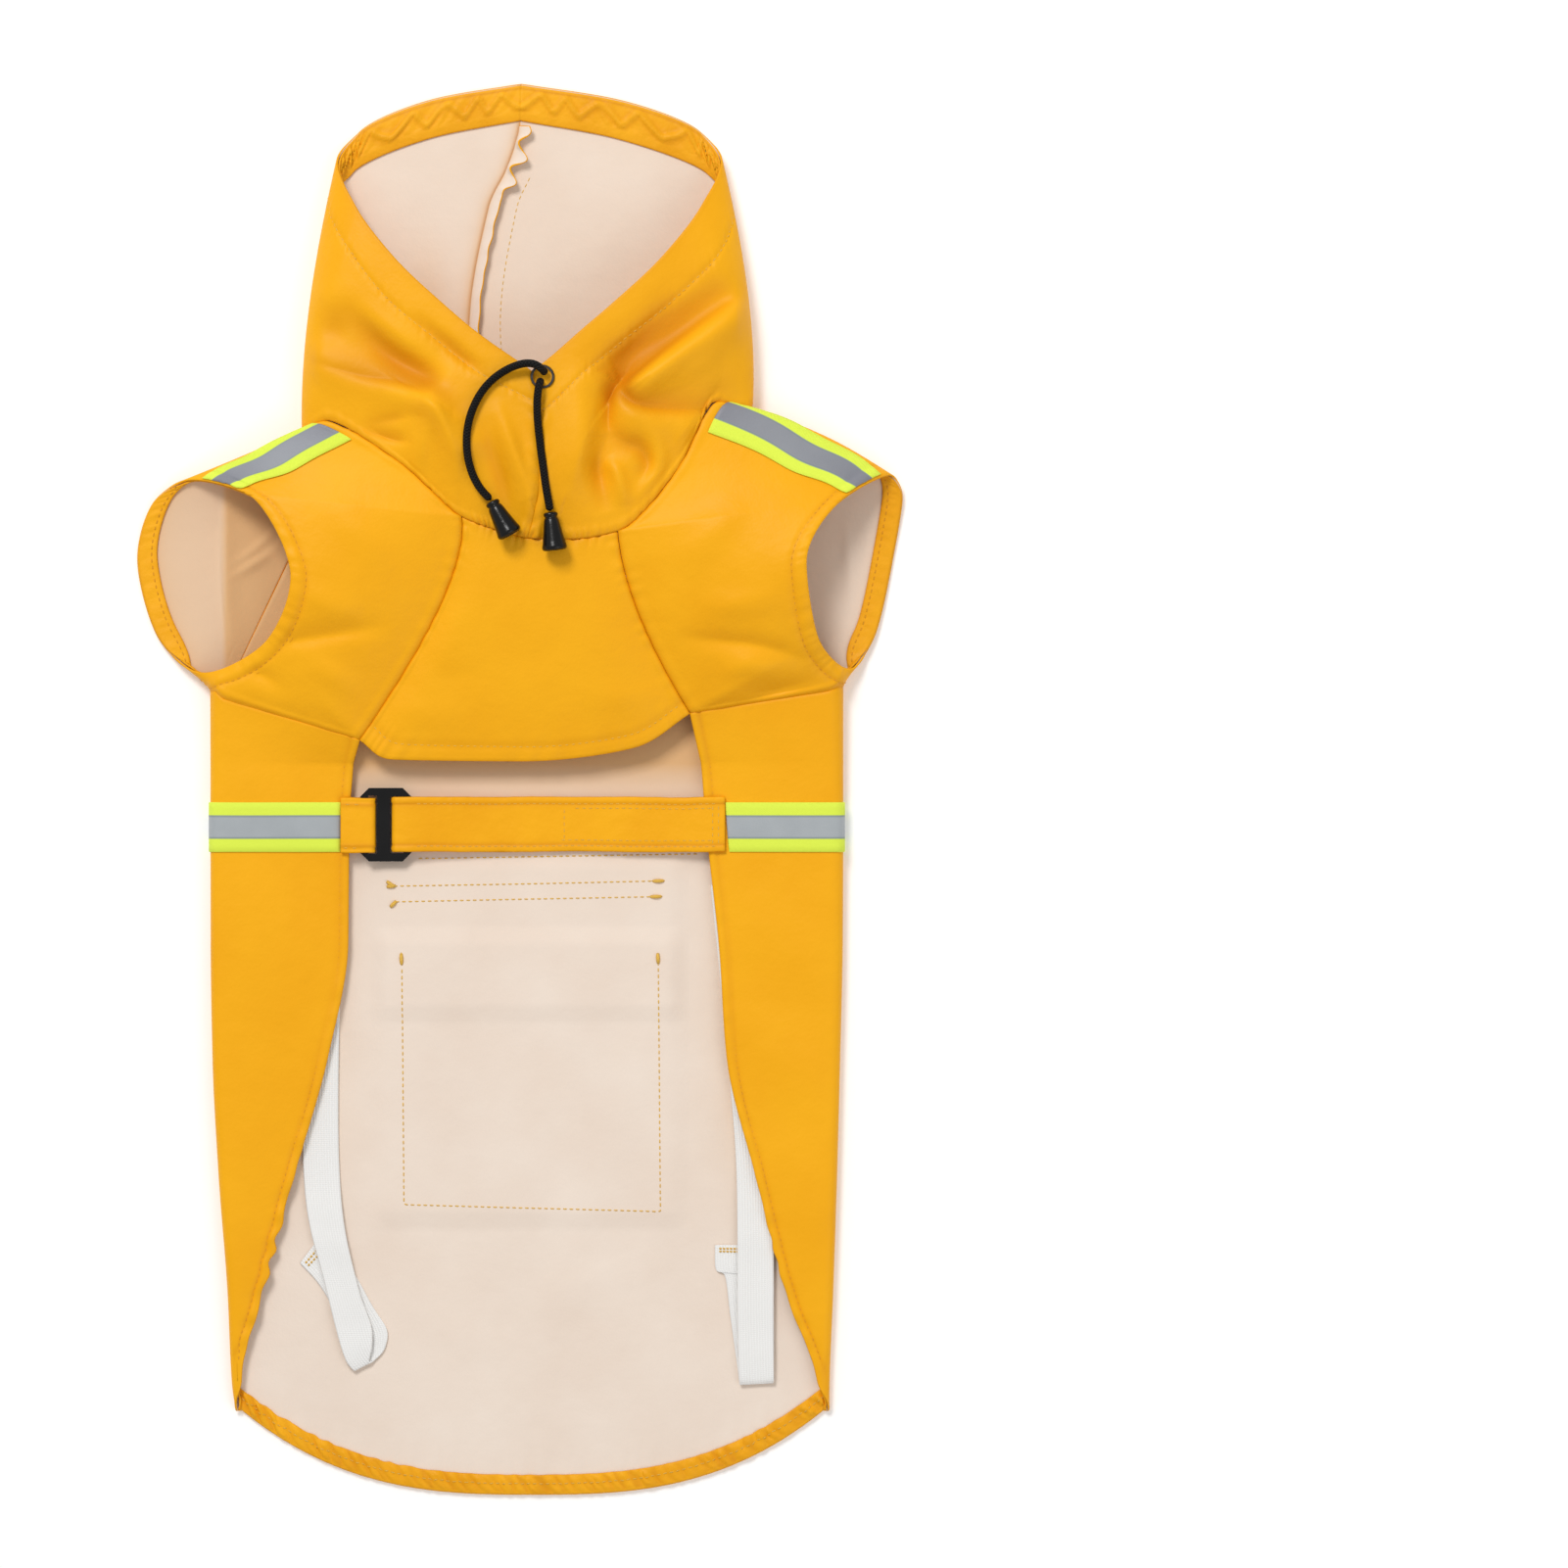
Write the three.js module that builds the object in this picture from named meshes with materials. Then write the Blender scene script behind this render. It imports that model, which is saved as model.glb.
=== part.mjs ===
// A dog raincoat laid flat on its back, belly side up.
// X runs across the coat, +Y from hem to hood and +Z up from the surface that it lies on. Millimetres.
// The back panel wraps round both sides and its flaps lie on the belly side. A chest panel, two raglan
// cap sleeves and a two-piece hood close the front round a drawstring face opening.
import * as THREE from 'three';
import { mergeVertices } from 'three/addons/utils/BufferGeometryUtils.js';

// Driving dimensions
const CLOTH = 1.2;            // coated raincoat cloth
const TURN_UP = 1.0;          // the same cloth where it is turned in as a hem
const TRIM = 1.0;             // belt, pocket and elastic
const TAPE = 0.6;             // reflective tape
const SEAM_GAP = 0.3;         // between two pieces that lie on each other
const SEAM_TRIM = 0.45;       // each piece stops this far short of its seam line
const SLEEVE_NECK_TRIM = 4.3; // where hood and sleeve meet at a sharp angle
const HOOD_CENTRE_X = 4.7;

const TAPE_BAND = { low: -28.4, high: -6.1, leftEnd: -82.4, rightEnd: 95.4 };
const POCKET = { centreX: 5, halfWidth: 60, low: -192, high: -73 };
const POCKET_FLAP = { centreX: 4, halfWidth: 63, low: -96, high: -38 };
const POCKET_EASE = 8;        // the panel climbs over a pocket layer in this distance

const HEM = { level: -285, sag: 38.6, roundness: 2.8, straightAbove: -205, turnUp: 10 };
const CHEST_LEVEL = 12;       // above this row the body rows bend towards the neck and armholes
const TOP_LEVEL = 51;
const BACK_NECK_SHARE = 0.67; // share of the back panel's half width that is sewn to the hood

const BELT = { centreY: -16.0, width: 25, leftEnd: -81.5, rightEnd: 94.0, freeEnd: 14 };
const SLIDER = { low: -33, high: 0.7, left: -72.9, right: -49.5, bottom: 4.6, thickness: 3, chamfer: 4 };
const SLIDER_BARS = { leftBar: 3.6, leftSlot: 4.1, centreBar: 6, rightSlot: 6.2 };
const SLIDER_RAILS = { leftSlot: 3.5, rightSlot: 3.8 };

const CORD = { diameter: 3.6, sides: 8 };
const EYELET = { centre: [11.7, 187.3, 34.0], outerRadius: 5.6, holeRadius: 4.4, thickness: 0.8 };
const CORD_END = { length: 17.5, neckRadius: 3.2, mouthRadius: 5.7 };

const ELASTIC = { width: 16 };

// The body at rows from hem to chest. left and right are the coat's edges, radius is that of the side
// fold, turn is how far round the fold the cloth goes, flapLeft and flapRight are what lies beyond it,
// and drop is how far a flap's free edge falls below the fold's top.
const BODY_ROWS = [
  { level: -285, left: -130.6, right: 142.2, radius: 3.0, turn: 0.35, flapLeft: 0.8, flapRight: 0.8, drop: 0.0 },
  { level: -271, left: -132.3, right: 142.4, radius: 3.4, turn: 1.00, flapLeft: 1.2, flapRight: 2.2, drop: 0.1 },
  { level: -231, left: -134.1, right: 144.0, radius: 4.2, turn: 1.00, flapLeft: 12.0, flapRight: 17.3, drop: 1.2 },
  { level: -177, left: -138.2, right: 145.8, radius: 4.5, turn: 1.00, flapLeft: 30.2, flapRight: 32.8, drop: 2.4 },
  { level: -123, left: -141.0, right: 147.2, radius: 4.6, turn: 1.00, flapLeft: 48.2, flapRight: 47.2, drop: 2.8 },
  { level: -69, left: -141.8, right: 148.4, radius: 4.8, turn: 1.00, flapLeft: 58.2, flapRight: 52.0, drop: 3.2 },
  { level: -18, left: -141.8, right: 148.6, radius: 5.2, turn: 1.00, flapLeft: 58.3, flapRight: 57.4, drop: 3.8 },
  { level: 12, left: -141.8, right: 148.6, radius: 5.6, turn: 1.00, flapLeft: 59.8, flapRight: 59.4, drop: 3.8 },
  { level: 51, left: -141.8, right: 148.6, radius: 6.8, turn: 1.00, flapLeft: 62.0, flapRight: 63.3, drop: 1.0 },
];

// Heights of the armhole seam at the side fold and at the flap's inner corner, on each side.
const ARMHOLE = { left: { fold: 45, corner: 22.8 }, right: { fold: 47, corner: 35 } };

// The hood's seam lines, from front centre (0) round one side to back centre (8). The neck end is given
// for each side, as x and y, and its height for both. side and mouth are measured outwards from the
// hood's centre line, halfway up the hood and at the edge of the face opening.
const HOOD_LINES = [
  { neckLeft: [4.7, 114.3], neckRight: [4.7, 114.3], neckZ: 27.0, side: [0, 152, 33.0], mouth: [0, 189.5, 32.0] },
  { neckLeft: [-10.4, 118.4], neckRight: [24.3, 113.9], neckZ: 27.0, side: [20, 158, 33.0], mouth: [19, 204, 32.0] },
  { neckLeft: [-25.2, 124.2], neckRight: [45.5, 117.5], neckZ: 26.0, side: [41, 168, 31.0], mouth: [39, 221, 30.0] },
  { neckLeft: [-52.2, 148.1], neckRight: [71.6, 144.5], neckZ: 24.0, side: [68, 190, 27.0], mouth: [61, 242, 26.5] },
  { neckLeft: [-86.9, 168.3], neckRight: [90.0, 176.9], neckZ: 19.0, side: [91, 214, 22.5], mouth: [79, 266, 19.5] },
  { neckLeft: [-98.6, 154.8], neckRight: [104.6, 159.0], neckZ: 9.5, side: [101, 215, 10.5], mouth: [88, 287, 9.5] },
  { neckLeft: [-94.0, 131.0], neckRight: [104.0, 131.0], neckZ: 0.6, side: [92, 205, 0.6], mouth: [78, 302, 1.2] },
  { neckLeft: [-59.0, 104.0], neckRight: [69.3, 104.0], neckZ: 0.6, side: [50, 200, 0.6], mouth: [43, 316.4, 1.8] },
  { neckLeft: [4.7, 87.8], neckRight: [4.7, 87.8], neckZ: 0.6, side: [0, 200, 0.6], mouth: [0, 323.6, 2.2] },
];
const CASING_WIDTH = 15;

// The hood's largest folds: a ridge (or a trough, where height is below 0) along a straight line.
const HOOD_FOLDS = [
  { from: [-90, 196], to: [-38, 178], width: 9, height: 3.2 },
  { from: [-38, 178], to: [-24, 158], width: 8, height: 3.6 },
  { from: [-84, 205], to: [-40, 192], width: 9, height: -2.4 },
  { from: [104, 218], to: [52, 184], width: 9, height: 4.2 },
  { from: [92, 224], to: [46, 192], width: 7, height: -3.4 },
  { from: [38, 176], to: [42, 146], width: 8, height: -3.0 },
  { from: [56, 170], to: [74, 166], width: 8, height: 2.4 },
];

// The front raglan seams, from the neck down to the chest panel's lower corner.
const RAGLAN = {
  left: { middle: [-35.2, 84.0, 20.5], corner: [-72.7, 22.8, 12.0] },
  right: { middle: [55.0, 80.0, 20.5], corner: [78.2, 35.0, 12.0] },
};
const CHEST_HEM = { leftDip: [-50, 14.2], middle: [0, 13.2], rightDip: [52, 24.5], height: 12.5 };
const CHEST_BULGE = 2.5;

// The cuff opening at eight places round it, for each side, and the height of each place.
const CUFF = [
  { place: 'top', left: [-149.5, 141.8], right: [169.5, 144.0], leftZ: 8.5, rightZ: 9 },
  { place: 'front upper', left: [-122.0, 134.0], right: [146.0, 130.5], leftZ: 24, rightZ: 28 },
  { place: 'front', left: [-102.5, 97.0], right: [131.2, 103.0], leftZ: 31, rightZ: 37 },
  { place: 'front lower', left: [-114.0, 68.0], right: [137.0, 68.0], leftZ: 22, rightZ: 25 },
  { place: 'bottom', left: [-144.0, 53.2], right: [151.0, 55.0], leftZ: 9, rightZ: 9 },
  { place: 'back lower', left: [-165.6, 69.5], right: [162.0, 69.0], leftZ: 2.0, rightZ: 2.0 },
  { place: 'back', left: [-175.4, 106.0], right: [171.0, 106.0], leftZ: 0.8, rightZ: 0.8 },
  { place: 'back upper', left: [-167.5, 132.5], right: [175.4, 134.0], leftZ: 2.0, rightZ: 2.2 },
];
const SLEEVE_BULGE = [0, 4, 2.5, 3, 1, 0, 0, 0];
const SHOULDER = 4.35;        // the hood's seam line at which the sleeve's top line starts
const SLEEVE_TOP_RISE = { left: 0.5, right: 5.5 };  // how far the shoulder line bows towards the hood
const SLEEVE_SAMPLES = [6, 4, 3, 5, 5, 3, 4, 6];  // columns between one place and the next
const SLEEVE_TAPE = { from: 1.5, width: 22 };     // measured over the sleeve, down from its top line
const CUFF_TURN_UP = 9;

// Routes of the two leg elastics: out along the panel, round a loop at the end and back to the anchor.
const ELASTIC_ROUTES = {
  left: [
    [-88.7, -45, 2.1], [-90.6, -87, 2.1], [-91.6, -132, 2.1], [-91.2, -172, 2.2], [-88.4, -200, 3.7],
    [-81.5, -228, 4.1], [-73.0, -257, 4.2], [-71.6, -261.2, 3.2], [-73.4, -257, 2.1], [-82.0, -235, 2.1],
    [-92.5, -211, 2.1],
  ],
  right: [
    [95.9, -45, 2.1], [102.6, -110, 2.1], [107.2, -165, 2.2], [108.4, -205, 3.7], [108.4, -238, 4.1],
    [108.4, -268, 4.2], [108.4, -272.4, 3.2], [108.0, -268, 2.1], [104.5, -242, 2.1], [100.0, -212, 2.1],
  ],
};

// The drawstring's free ends, from the eyelet that both leave through to the cord end
const CORD_ROUTES = {
  curved: [
    [12.8, 189.2, 35.2], [12.0, 190.1, 37.3], [10.2, 191.6, 39.1], [7.4, 192.8, 39.8], [3.6, 192.9, 39.3],
    [-0.8, 191.8, 38.0], [-5.4, 189.7, 36.8], [-10.2, 186.4, 36.2], [-14.6, 181.8, 36.3], [-18.3, 175.8, 36.8],
    [-21.1, 168.4, 37.5], [-22.4, 160.2, 37.9], [-22.1, 151.4, 36.6], [-20.1, 143.4, 35.1], [-16.6, 136.8, 34.3],
    [-11.6, 131.2, 34.1],
  ],
  straight: [
    [10.9, 185.3, 35.2], [10.6, 184.3, 37.3], [10.2, 182.3, 38.9], [9.8, 179.2, 39.4], [9.5, 175.2, 38.6],
    [9.5, 171.0, 37.3], [9.7, 166.8, 36.5], [10.1, 162.4, 36.2], [10.6, 158.0, 36.0], [11.1, 153.6, 35.8],
    [11.7, 149.2, 35.5], [12.3, 144.8, 35.1], [12.9, 140.2, 34.7], [13.6, 135.6, 34.3], [14.4, 131.0, 34.0],
    [15.2, 126.4, 33.8],
  ],
};
const CORD_END_AIM = { curved: [9.6, -17.0, 0.3], straight: [2.2, -18.4, -0.3] };

const lerp = THREE.MathUtils.lerp;
const clamp = THREE.MathUtils.clamp;
const vector = (p) => new THREE.Vector3(...p);

// A cubic through values at knots that never passes the values it joins.
function monotone(knots, values) {
  const last = knots.length - 1;
  const rise = (i) => (values[i + 1] - values[i]) / (knots[i + 1] - knots[i]);
  const slope = knots.map((_, i) => {
    if (i === 0) return rise(0);
    if (i === last) return rise(last - 1);
    const [before, after] = [rise(i - 1), rise(i)];
    return before * after <= 0 ? 0 : (2 * before * after) / (before + after);
  });
  return (x) => {
    let i = 0;
    while (i < last - 1 && x > knots[i + 1]) i += 1;
    const width = knots[i + 1] - knots[i];
    const t = clamp((x - knots[i]) / width, 0, 1);
    const back = 1 - t;
    return values[i] * back * back * (1 + 2 * t) + values[i + 1] * t * t * (3 - 2 * t)
      + width * t * back * (slope[i] * back - slope[i + 1] * t);
  };
}

// The same for points, at knots 0, 1, 2 and so on.
function monotonePoints(points) {
  const knots = points.map((_, i) => i);
  const axes = ['x', 'y', 'z'].map((axis) => monotone(knots, points.map((p) => p[axis])));
  return (t) => new THREE.Vector3(...axes.map((curve) => curve(t)));
}

// A closed curve through points, with t counted in points round it.
function closedCurve(points) {
  const count = points.length;
  const around = monotonePoints([...points.slice(-2), ...points, ...points.slice(0, 3)]);
  return (t) => around((((t % count) + count) % count) + 2);
}

// The parabola through three points, at t = 0, 0.5 and 1.
function throughThree(start, middle, end, t) {
  return new THREE.Vector3()
    .addScaledVector(start, (1 - t) * (1 - 2 * t))
    .addScaledVector(middle, 4 * t * (1 - t))
    .addScaledVector(end, t * (2 * t - 1));
}

// 1 between low and high, falling to 0 over the ease outside them.
function plateau(value, low, high, ease) {
  return clamp(Math.min((value - low) / ease + 1, (high - value) / ease + 1), 0, 1);
}

// Unit normals of a grid of points, from the neighbours of each. ring joins each row's ends.
function gridNormals(rows, ring) {
  const lastRow = rows.length - 1;
  return rows.map((row, i) => row.map((_, j) => {
    const count = row.length;
    const next = ring ? (j + 1) % count : Math.min(j + 1, count - 1);
    const previous = ring ? (j + count - 1) % count : Math.max(j - 1, 0);
    const across = row[next].clone().sub(row[previous]);
    const along = rows[Math.min(i + 1, lastRow)][j].clone().sub(rows[Math.max(i - 1, 0)][j]);
    return across.cross(along).normalize();
  }));
}

function offsetGrid(rows, distance, ring = false) {
  const normals = gridNormals(rows, ring);
  return rows.map((row, i) => row.map((p, j) => p.clone().addScaledVector(normals[i][j], distance)));
}

// A closed wall round a grid of points that lie halfway through the cloth.
function wall(rows, thickness, ring = false) {
  const faces = [offsetGrid(rows, thickness / 2, ring), offsetGrid(rows, -thickness / 2, ring)];
  const [rowCount, columnCount] = [rows.length, rows[0].length];
  const positions = faces.flat(2).flatMap((p) => [p.x, p.y, Math.max(0, p.z)]);
  const at = (face, i, j) => (face * rowCount + i) * columnCount + (j % columnCount);
  const triangles = [];
  const quad = (a, b, c, d) => triangles.push([a, b, c], [a, c, d]);
  const spans = ring ? columnCount : columnCount - 1;
  for (let i = 0; i < rowCount - 1; i += 1) {
    for (let j = 0; j < spans; j += 1) {
      quad(at(0, i, j), at(0, i, j + 1), at(0, i + 1, j + 1), at(0, i + 1, j));
      quad(at(1, i, j), at(1, i + 1, j), at(1, i + 1, j + 1), at(1, i, j + 1));
    }
  }
  for (let j = 0; j < spans; j += 1) {
    quad(at(0, 0, j + 1), at(0, 0, j), at(1, 0, j), at(1, 0, j + 1));
    quad(at(0, rowCount - 1, j), at(0, rowCount - 1, j + 1), at(1, rowCount - 1, j + 1), at(1, rowCount - 1, j));
  }
  for (let i = 0; i < rowCount - 1 && !ring; i += 1) {
    const end = columnCount - 1;
    quad(at(0, i, 0), at(0, i + 1, 0), at(1, i + 1, 0), at(1, i, 0));
    quad(at(0, i + 1, end), at(0, i, end), at(1, i, end), at(1, i + 1, end));
  }
  const geometry = new THREE.BufferGeometry();
  geometry.setAttribute('position', new THREE.Float32BufferAttribute(positions, 3));
  geometry.setIndex(triangles.flat());
  return geometry;
}

// Pulls a grid's edges back from their seam lines. edges names those that are sewn, and atStart may give
// each point of the first row its own distance.
function trimmed(rows, edges, distance = SEAM_TRIM, atStart = () => distance) {
  const pull = (p, towards, by = distance) => p.addScaledVector(towards.clone().sub(p).normalize(), by);
  const end = rows.length - 1;
  if (edges.includes('first row')) rows[0].forEach((p, j) => pull(p, rows[1][j], atStart(j)));
  if (edges.includes('last row')) rows[end].forEach((p, j) => pull(p, rows[end - 1][j]));
  for (const row of rows) {
    const last = row.length - 1;
    if (edges.includes('first column')) pull(row[0], row[1]);
    if (edges.includes('last column')) pull(row[last], row[last - 1]);
  }
  return rows;
}

const steps = (from, to, count) => Array.from({ length: count + 1 }, (_, i) => lerp(from, to, i / count));
const grid = (vs, us, surface) => vs.map((v) => us.map((u) => surface(u, v)));

// The hood's seam line number t round the neck, on one side
const neckEnds = {
  left: monotonePoints(HOOD_LINES.map((line) => new THREE.Vector3(...line.neckLeft, line.neckZ))),
  right: monotonePoints(HOOD_LINES.map((line) => new THREE.Vector3(...line.neckRight, line.neckZ))),
};

function fromCentre(side, [outwards, y, z]) {
  return new THREE.Vector3(HOOD_CENTRE_X + (side === 'left' ? -outwards : outwards), y, z);
}

const hoodCurves = Object.fromEntries(['left', 'right'].map((side) => [side, {
  neck: neckEnds[side],
  side: monotonePoints(HOOD_LINES.map((line) => fromCentre(side, line.side))),
  mouth: monotonePoints(HOOD_LINES.map((line) => fromCentre(side, line.mouth))),
}]));

function foldHeight(point) {
  let height = 0;
  for (const fold of HOOD_FOLDS) {
    const [x0, y0] = fold.from;
    const [x1, y1] = fold.to;
    const lengthSquared = (x1 - x0) ** 2 + (y1 - y0) ** 2;
    const along = ((point.x - x0) * (x1 - x0) + (point.y - y0) * (y1 - y0)) / lengthSquared;
    const nearest = clamp(along, 0, 1);
    const away = Math.hypot(point.x - lerp(x0, x1, nearest), point.y - lerp(y0, y1, nearest));
    height += fold.height * Math.exp(-((away / fold.width) ** 2));
  }
  return height;
}

// The hood: t counts its seam lines from front centre to back centre, s runs from neck to face opening.
function hoodSurface(side, t, s) {
  const { neck, side: middle, mouth } = hoodCurves[side];
  const point = throughThree(neck(t), middle(t), mouth(t), s);
  const onFront = clamp((point.z - 12) / 8, 0, 1);
  point.z += onFront * foldHeight(point) * Math.min(1, 6 * s, 5 * (1 - s));
  return point;
}

// Columns of the back panel along its neck seam, with the pocket's edges among them, and the same of the hood.
const neckColumns = [0, 0.17, 0.34, 0.46, 0.53, BACK_NECK_SHARE];
const backNeckTs = neckColumns.map((u) => 8 - (2 * u) / BACK_NECK_SHARE).reverse();
const shoulderTs = [...steps(2, SHOULDER, 6), ...steps(SHOULDER, 6, 8).slice(1, -1)];
const hoodLineTs = [0, 0.5, 1, 1.5, ...shoulderTs, ...backNeckTs];
const hoodLevels = steps(0, 1, 11);

function hoodHalf(side) {
  const rows = grid(hoodLevels, hoodLineTs, (t, s) => hoodSurface(side, t, s));
  return wall(trimmed(rows, ['first row', 'first column', 'last column']), CLOTH);
}

// The casing: the hood's edge turned in, which holds the drawstring.
function hoodCasing(side) {
  const inwards = side === 'left' ? 1 : -1;
  const start = (t) => 1 - CASING_WIDTH / hoodLineLength(side, t);
  const rows = grid([0, 0.5, 1], hoodLineTs, (t, share) => hoodSurface(side, t, lerp(start(t), 0.995, share)));
  const lining = offsetGrid(rows, inwards * (CLOTH / 2 + SEAM_GAP + TURN_UP / 2));
  return wall(trimmed(lining, ['first column', 'last column'], 2 * SEAM_TRIM), TURN_UP);
}

function hoodLineLength(side, t) {
  const { neck, side: middle, mouth } = hoodCurves[side];
  return neck(t).distanceTo(middle(t)) + middle(t).distanceTo(mouth(t));
}

// Body panel: each named column of its table, as a smooth curve over the row's level
const bodyLevels = BODY_ROWS.map((row) => row.level);
const bodyCurve = Object.fromEntries(
  ['left', 'right', 'radius', 'turn', 'flapLeft', 'flapRight', 'drop'].map(
    (name) => [name, monotone(bodyLevels, BODY_ROWS.map((row) => row[name]))],
  ),
);

// How far the back panel is lifted by the tape and the pocket that lie under it.
function panelLift(x, y) {
  const overPocket = plateau(x, POCKET_FLAP.centreX - POCKET_FLAP.halfWidth - 2,
    POCKET_FLAP.centreX + POCKET_FLAP.halfWidth + 2, POCKET_EASE);
  const oneLayer = plateau(y, POCKET.low - 2, POCKET_FLAP.high + 2, POCKET_EASE);
  const twoLayers = plateau(y, POCKET_FLAP.low - 3, POCKET.high + 2, POCKET_EASE);
  const overTape = plateau(y, TAPE_BAND.low - 0.6, TAPE_BAND.high + 0.6, POCKET_EASE);
  const layer = TRIM + SEAM_GAP;
  return Math.max((TAPE + SEAM_GAP) * overTape, layer * overPocket * (oneLayer + twoLayers));
}

// Where the body's cloth is at one row, beyond the side fold: share runs from 0, where it leaves the
// surface, round the fold to 0.5, and over the flap to its free edge at 1.
function wrapPoint(side, share, level) {
  const outwards = side === 'left' ? -1 : 1;
  const radius = bodyCurve.radius(level);
  const turned = radius - CLOTH / 2;
  const angle = bodyCurve.turn(level) * Math.PI * Math.min(1, share / 0.5);
  const flap = bodyCurve[side === 'left' ? 'flapLeft' : 'flapRight'](level);
  const over = Math.max(0, share - 0.5) / 0.5;
  const centreX = bodyCurve[side](level) - outwards * radius;
  const reach = turned * Math.sin(angle) + over * flap * Math.cos(angle);
  const height = radius - turned * Math.cos(angle) + over * flap * Math.sin(angle)
    - bodyCurve.drop(level) * over * over * (3 - 2 * over);
  return new THREE.Vector3(centreX + outwards * reach, level, height);
}

// u is -2 at the left flap's free edge, -1 to 1 across the back and 2 at the right flap's free edge.
function bodyRow(u, level) {
  const side = u < 0 ? 'left' : 'right';
  const point = Math.abs(u) > 1
    ? wrapPoint(side, Math.abs(u) - 1, level)
    : wrapPoint('left', 0, level).lerp(wrapPoint('right', 0, level), (u + 1) / 2);
  const slack = 1 - THREE.MathUtils.smoothstep(level, HEM.level, HEM.straightAbove);
  point.y -= HEM.sag * slack * (1 - Math.min(1, Math.abs(u)) ** HEM.roundness);
  point.z += panelLift(point.x, point.y) * clamp(3 - 2 * Math.abs(u), 0, 1);
  return point;
}

// The back panel's upper edge: hood seam, back raglan seams, and the flaps' seams to the sleeves.
function bodyTop(u) {
  const side = u < 0 ? 'left' : 'right';
  const across = Math.abs(u);
  if (across <= BACK_NECK_SHARE) return neckEnds[side](8 - (2 * across) / BACK_NECK_SHARE);
  const { fold, corner } = ARMHOLE[side];
  if (across <= 1) {
    const foot = wrapPoint(side, 0, TOP_LEVEL);
    foot.y = fold;
    return neckEnds[side](6).lerp(foot, (across - BACK_NECK_SHARE) / (1 - BACK_NECK_SHARE));
  }
  const point = wrapPoint(side, across - 1, TOP_LEVEL);
  point.y = lerp(fold, corner, clamp((across - 1.4) / 0.6, 0, 1));
  return point;
}

function bodySurface(u, level) {
  if (level <= CHEST_LEVEL) return bodyRow(u, level);
  return bodyRow(u, CHEST_LEVEL).lerp(bodyTop(u), (level - CHEST_LEVEL) / (TOP_LEVEL - CHEST_LEVEL));
}

const wrapShares = [0, 0.1, 0.2, 0.3, 0.4, 0.5, 0.62, 0.74, 0.87, 1];
const halfColumns = [...neckColumns, 0.78, 0.89, ...wrapShares.map((share) => 1 + share)];
const bodyColumns = [...halfColumns.slice(1).reverse().map((u) => -u), ...halfColumns];
const panelRows = [
  HEM.level, -271, -256, -238, -220,
  POCKET.low - 10, POCKET.low - 2, -160, -130, POCKET_FLAP.low - 11, POCKET_FLAP.low - 3,
  POCKET.high + 2, POCKET.high + 10, POCKET_FLAP.high + 1, TAPE_BAND.low - 0.6, TAPE_BAND.high + 0.6,
  TAPE_BAND.high + 8.6, CHEST_LEVEL, 22, 32, 42, TOP_LEVEL,
];

function bodyPanel() {
  const rows = grid(panelRows, bodyColumns, bodySurface);
  return wall(trimmed(rows, ['last row']), CLOTH);
}

// Where on a flap the cloth is at x, as the body's u.
function flapColumn(side, x, level) {
  const start = wrapPoint(side, 0.5, level).x;
  const end = wrapPoint(side, 1, level).x;
  const u = 1.5 + 0.5 * clamp((x - start) / (end - start), 0, 1);
  return side === 'left' ? -u : u;
}

// The reflective tape goes all the way round the outside of the body, from one flap to the other.
function bodyTape() {
  const middle = (TAPE_BAND.low + TAPE_BAND.high) / 2;
  const start = flapColumn('left', TAPE_BAND.leftEnd, middle);
  const end = flapColumn('right', TAPE_BAND.rightEnd, middle);
  const columns = [start, ...bodyColumns.filter((u) => u > start + 0.01 && u < end - 0.01), end];
  const rows = grid([TAPE_BAND.low, TAPE_BAND.high], columns, bodySurface);
  return wall(offsetGrid(rows, -(CLOTH / 2 + SEAM_GAP + TAPE / 2)), TAPE);
}

// The hem is turned up on the inside, from one side fold to the other.
function hemTurnUp() {
  const columns = bodyColumns.filter((u) => Math.abs(u) <= 1);
  const rows = grid([HEM.level, HEM.level + HEM.turnUp / 2, HEM.level + HEM.turnUp], columns, bodySurface);
  rows[0].forEach((p, j) => p.lerp(rows[1][j], 0.06));
  return wall(offsetGrid(rows, CLOTH / 2 + SEAM_GAP + TURN_UP / 2), TURN_UP);
}

// Chest panel: a patch between the neck seam, the two raglan seams and its own free hem
function raglanSeam(side, t) {
  const { middle, corner } = RAGLAN[side];
  return throughThree(neckEnds[side](2), vector(middle), vector(corner), t);
}

function chestNeck(across) {
  return across < 0.5 ? neckEnds.left(2 - 4 * across) : neckEnds.right(4 * across - 2);
}

const chestHem = monotonePoints([
  vector(RAGLAN.left.corner),
  new THREE.Vector3(...CHEST_HEM.leftDip, CHEST_HEM.height),
  new THREE.Vector3(...CHEST_HEM.middle, CHEST_HEM.height),
  new THREE.Vector3(...CHEST_HEM.rightDip, CHEST_HEM.height),
  vector(RAGLAN.right.corner),
]);

function chestSurface(across, down) {
  const leftPart = raglanSeam('left', down).multiplyScalar(1 - across);
  const rightPart = raglanSeam('right', down).multiplyScalar(across);
  const topPart = chestNeck(across).multiplyScalar(1 - down);
  const bottomPart = chestHem(4 * across).multiplyScalar(down);
  const corners = raglanSeam('left', 0).multiplyScalar((1 - across) * (1 - down))
    .addScaledVector(raglanSeam('right', 0), across * (1 - down))
    .addScaledVector(raglanSeam('left', 1), (1 - across) * down)
    .addScaledVector(raglanSeam('right', 1), across * down);
  const point = leftPart.add(rightPart).add(topPart).add(bottomPart).sub(corners);
  point.z += CHEST_BULGE * 4 * across * (1 - across) * Math.sin(Math.PI * down);
  return point;
}

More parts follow.
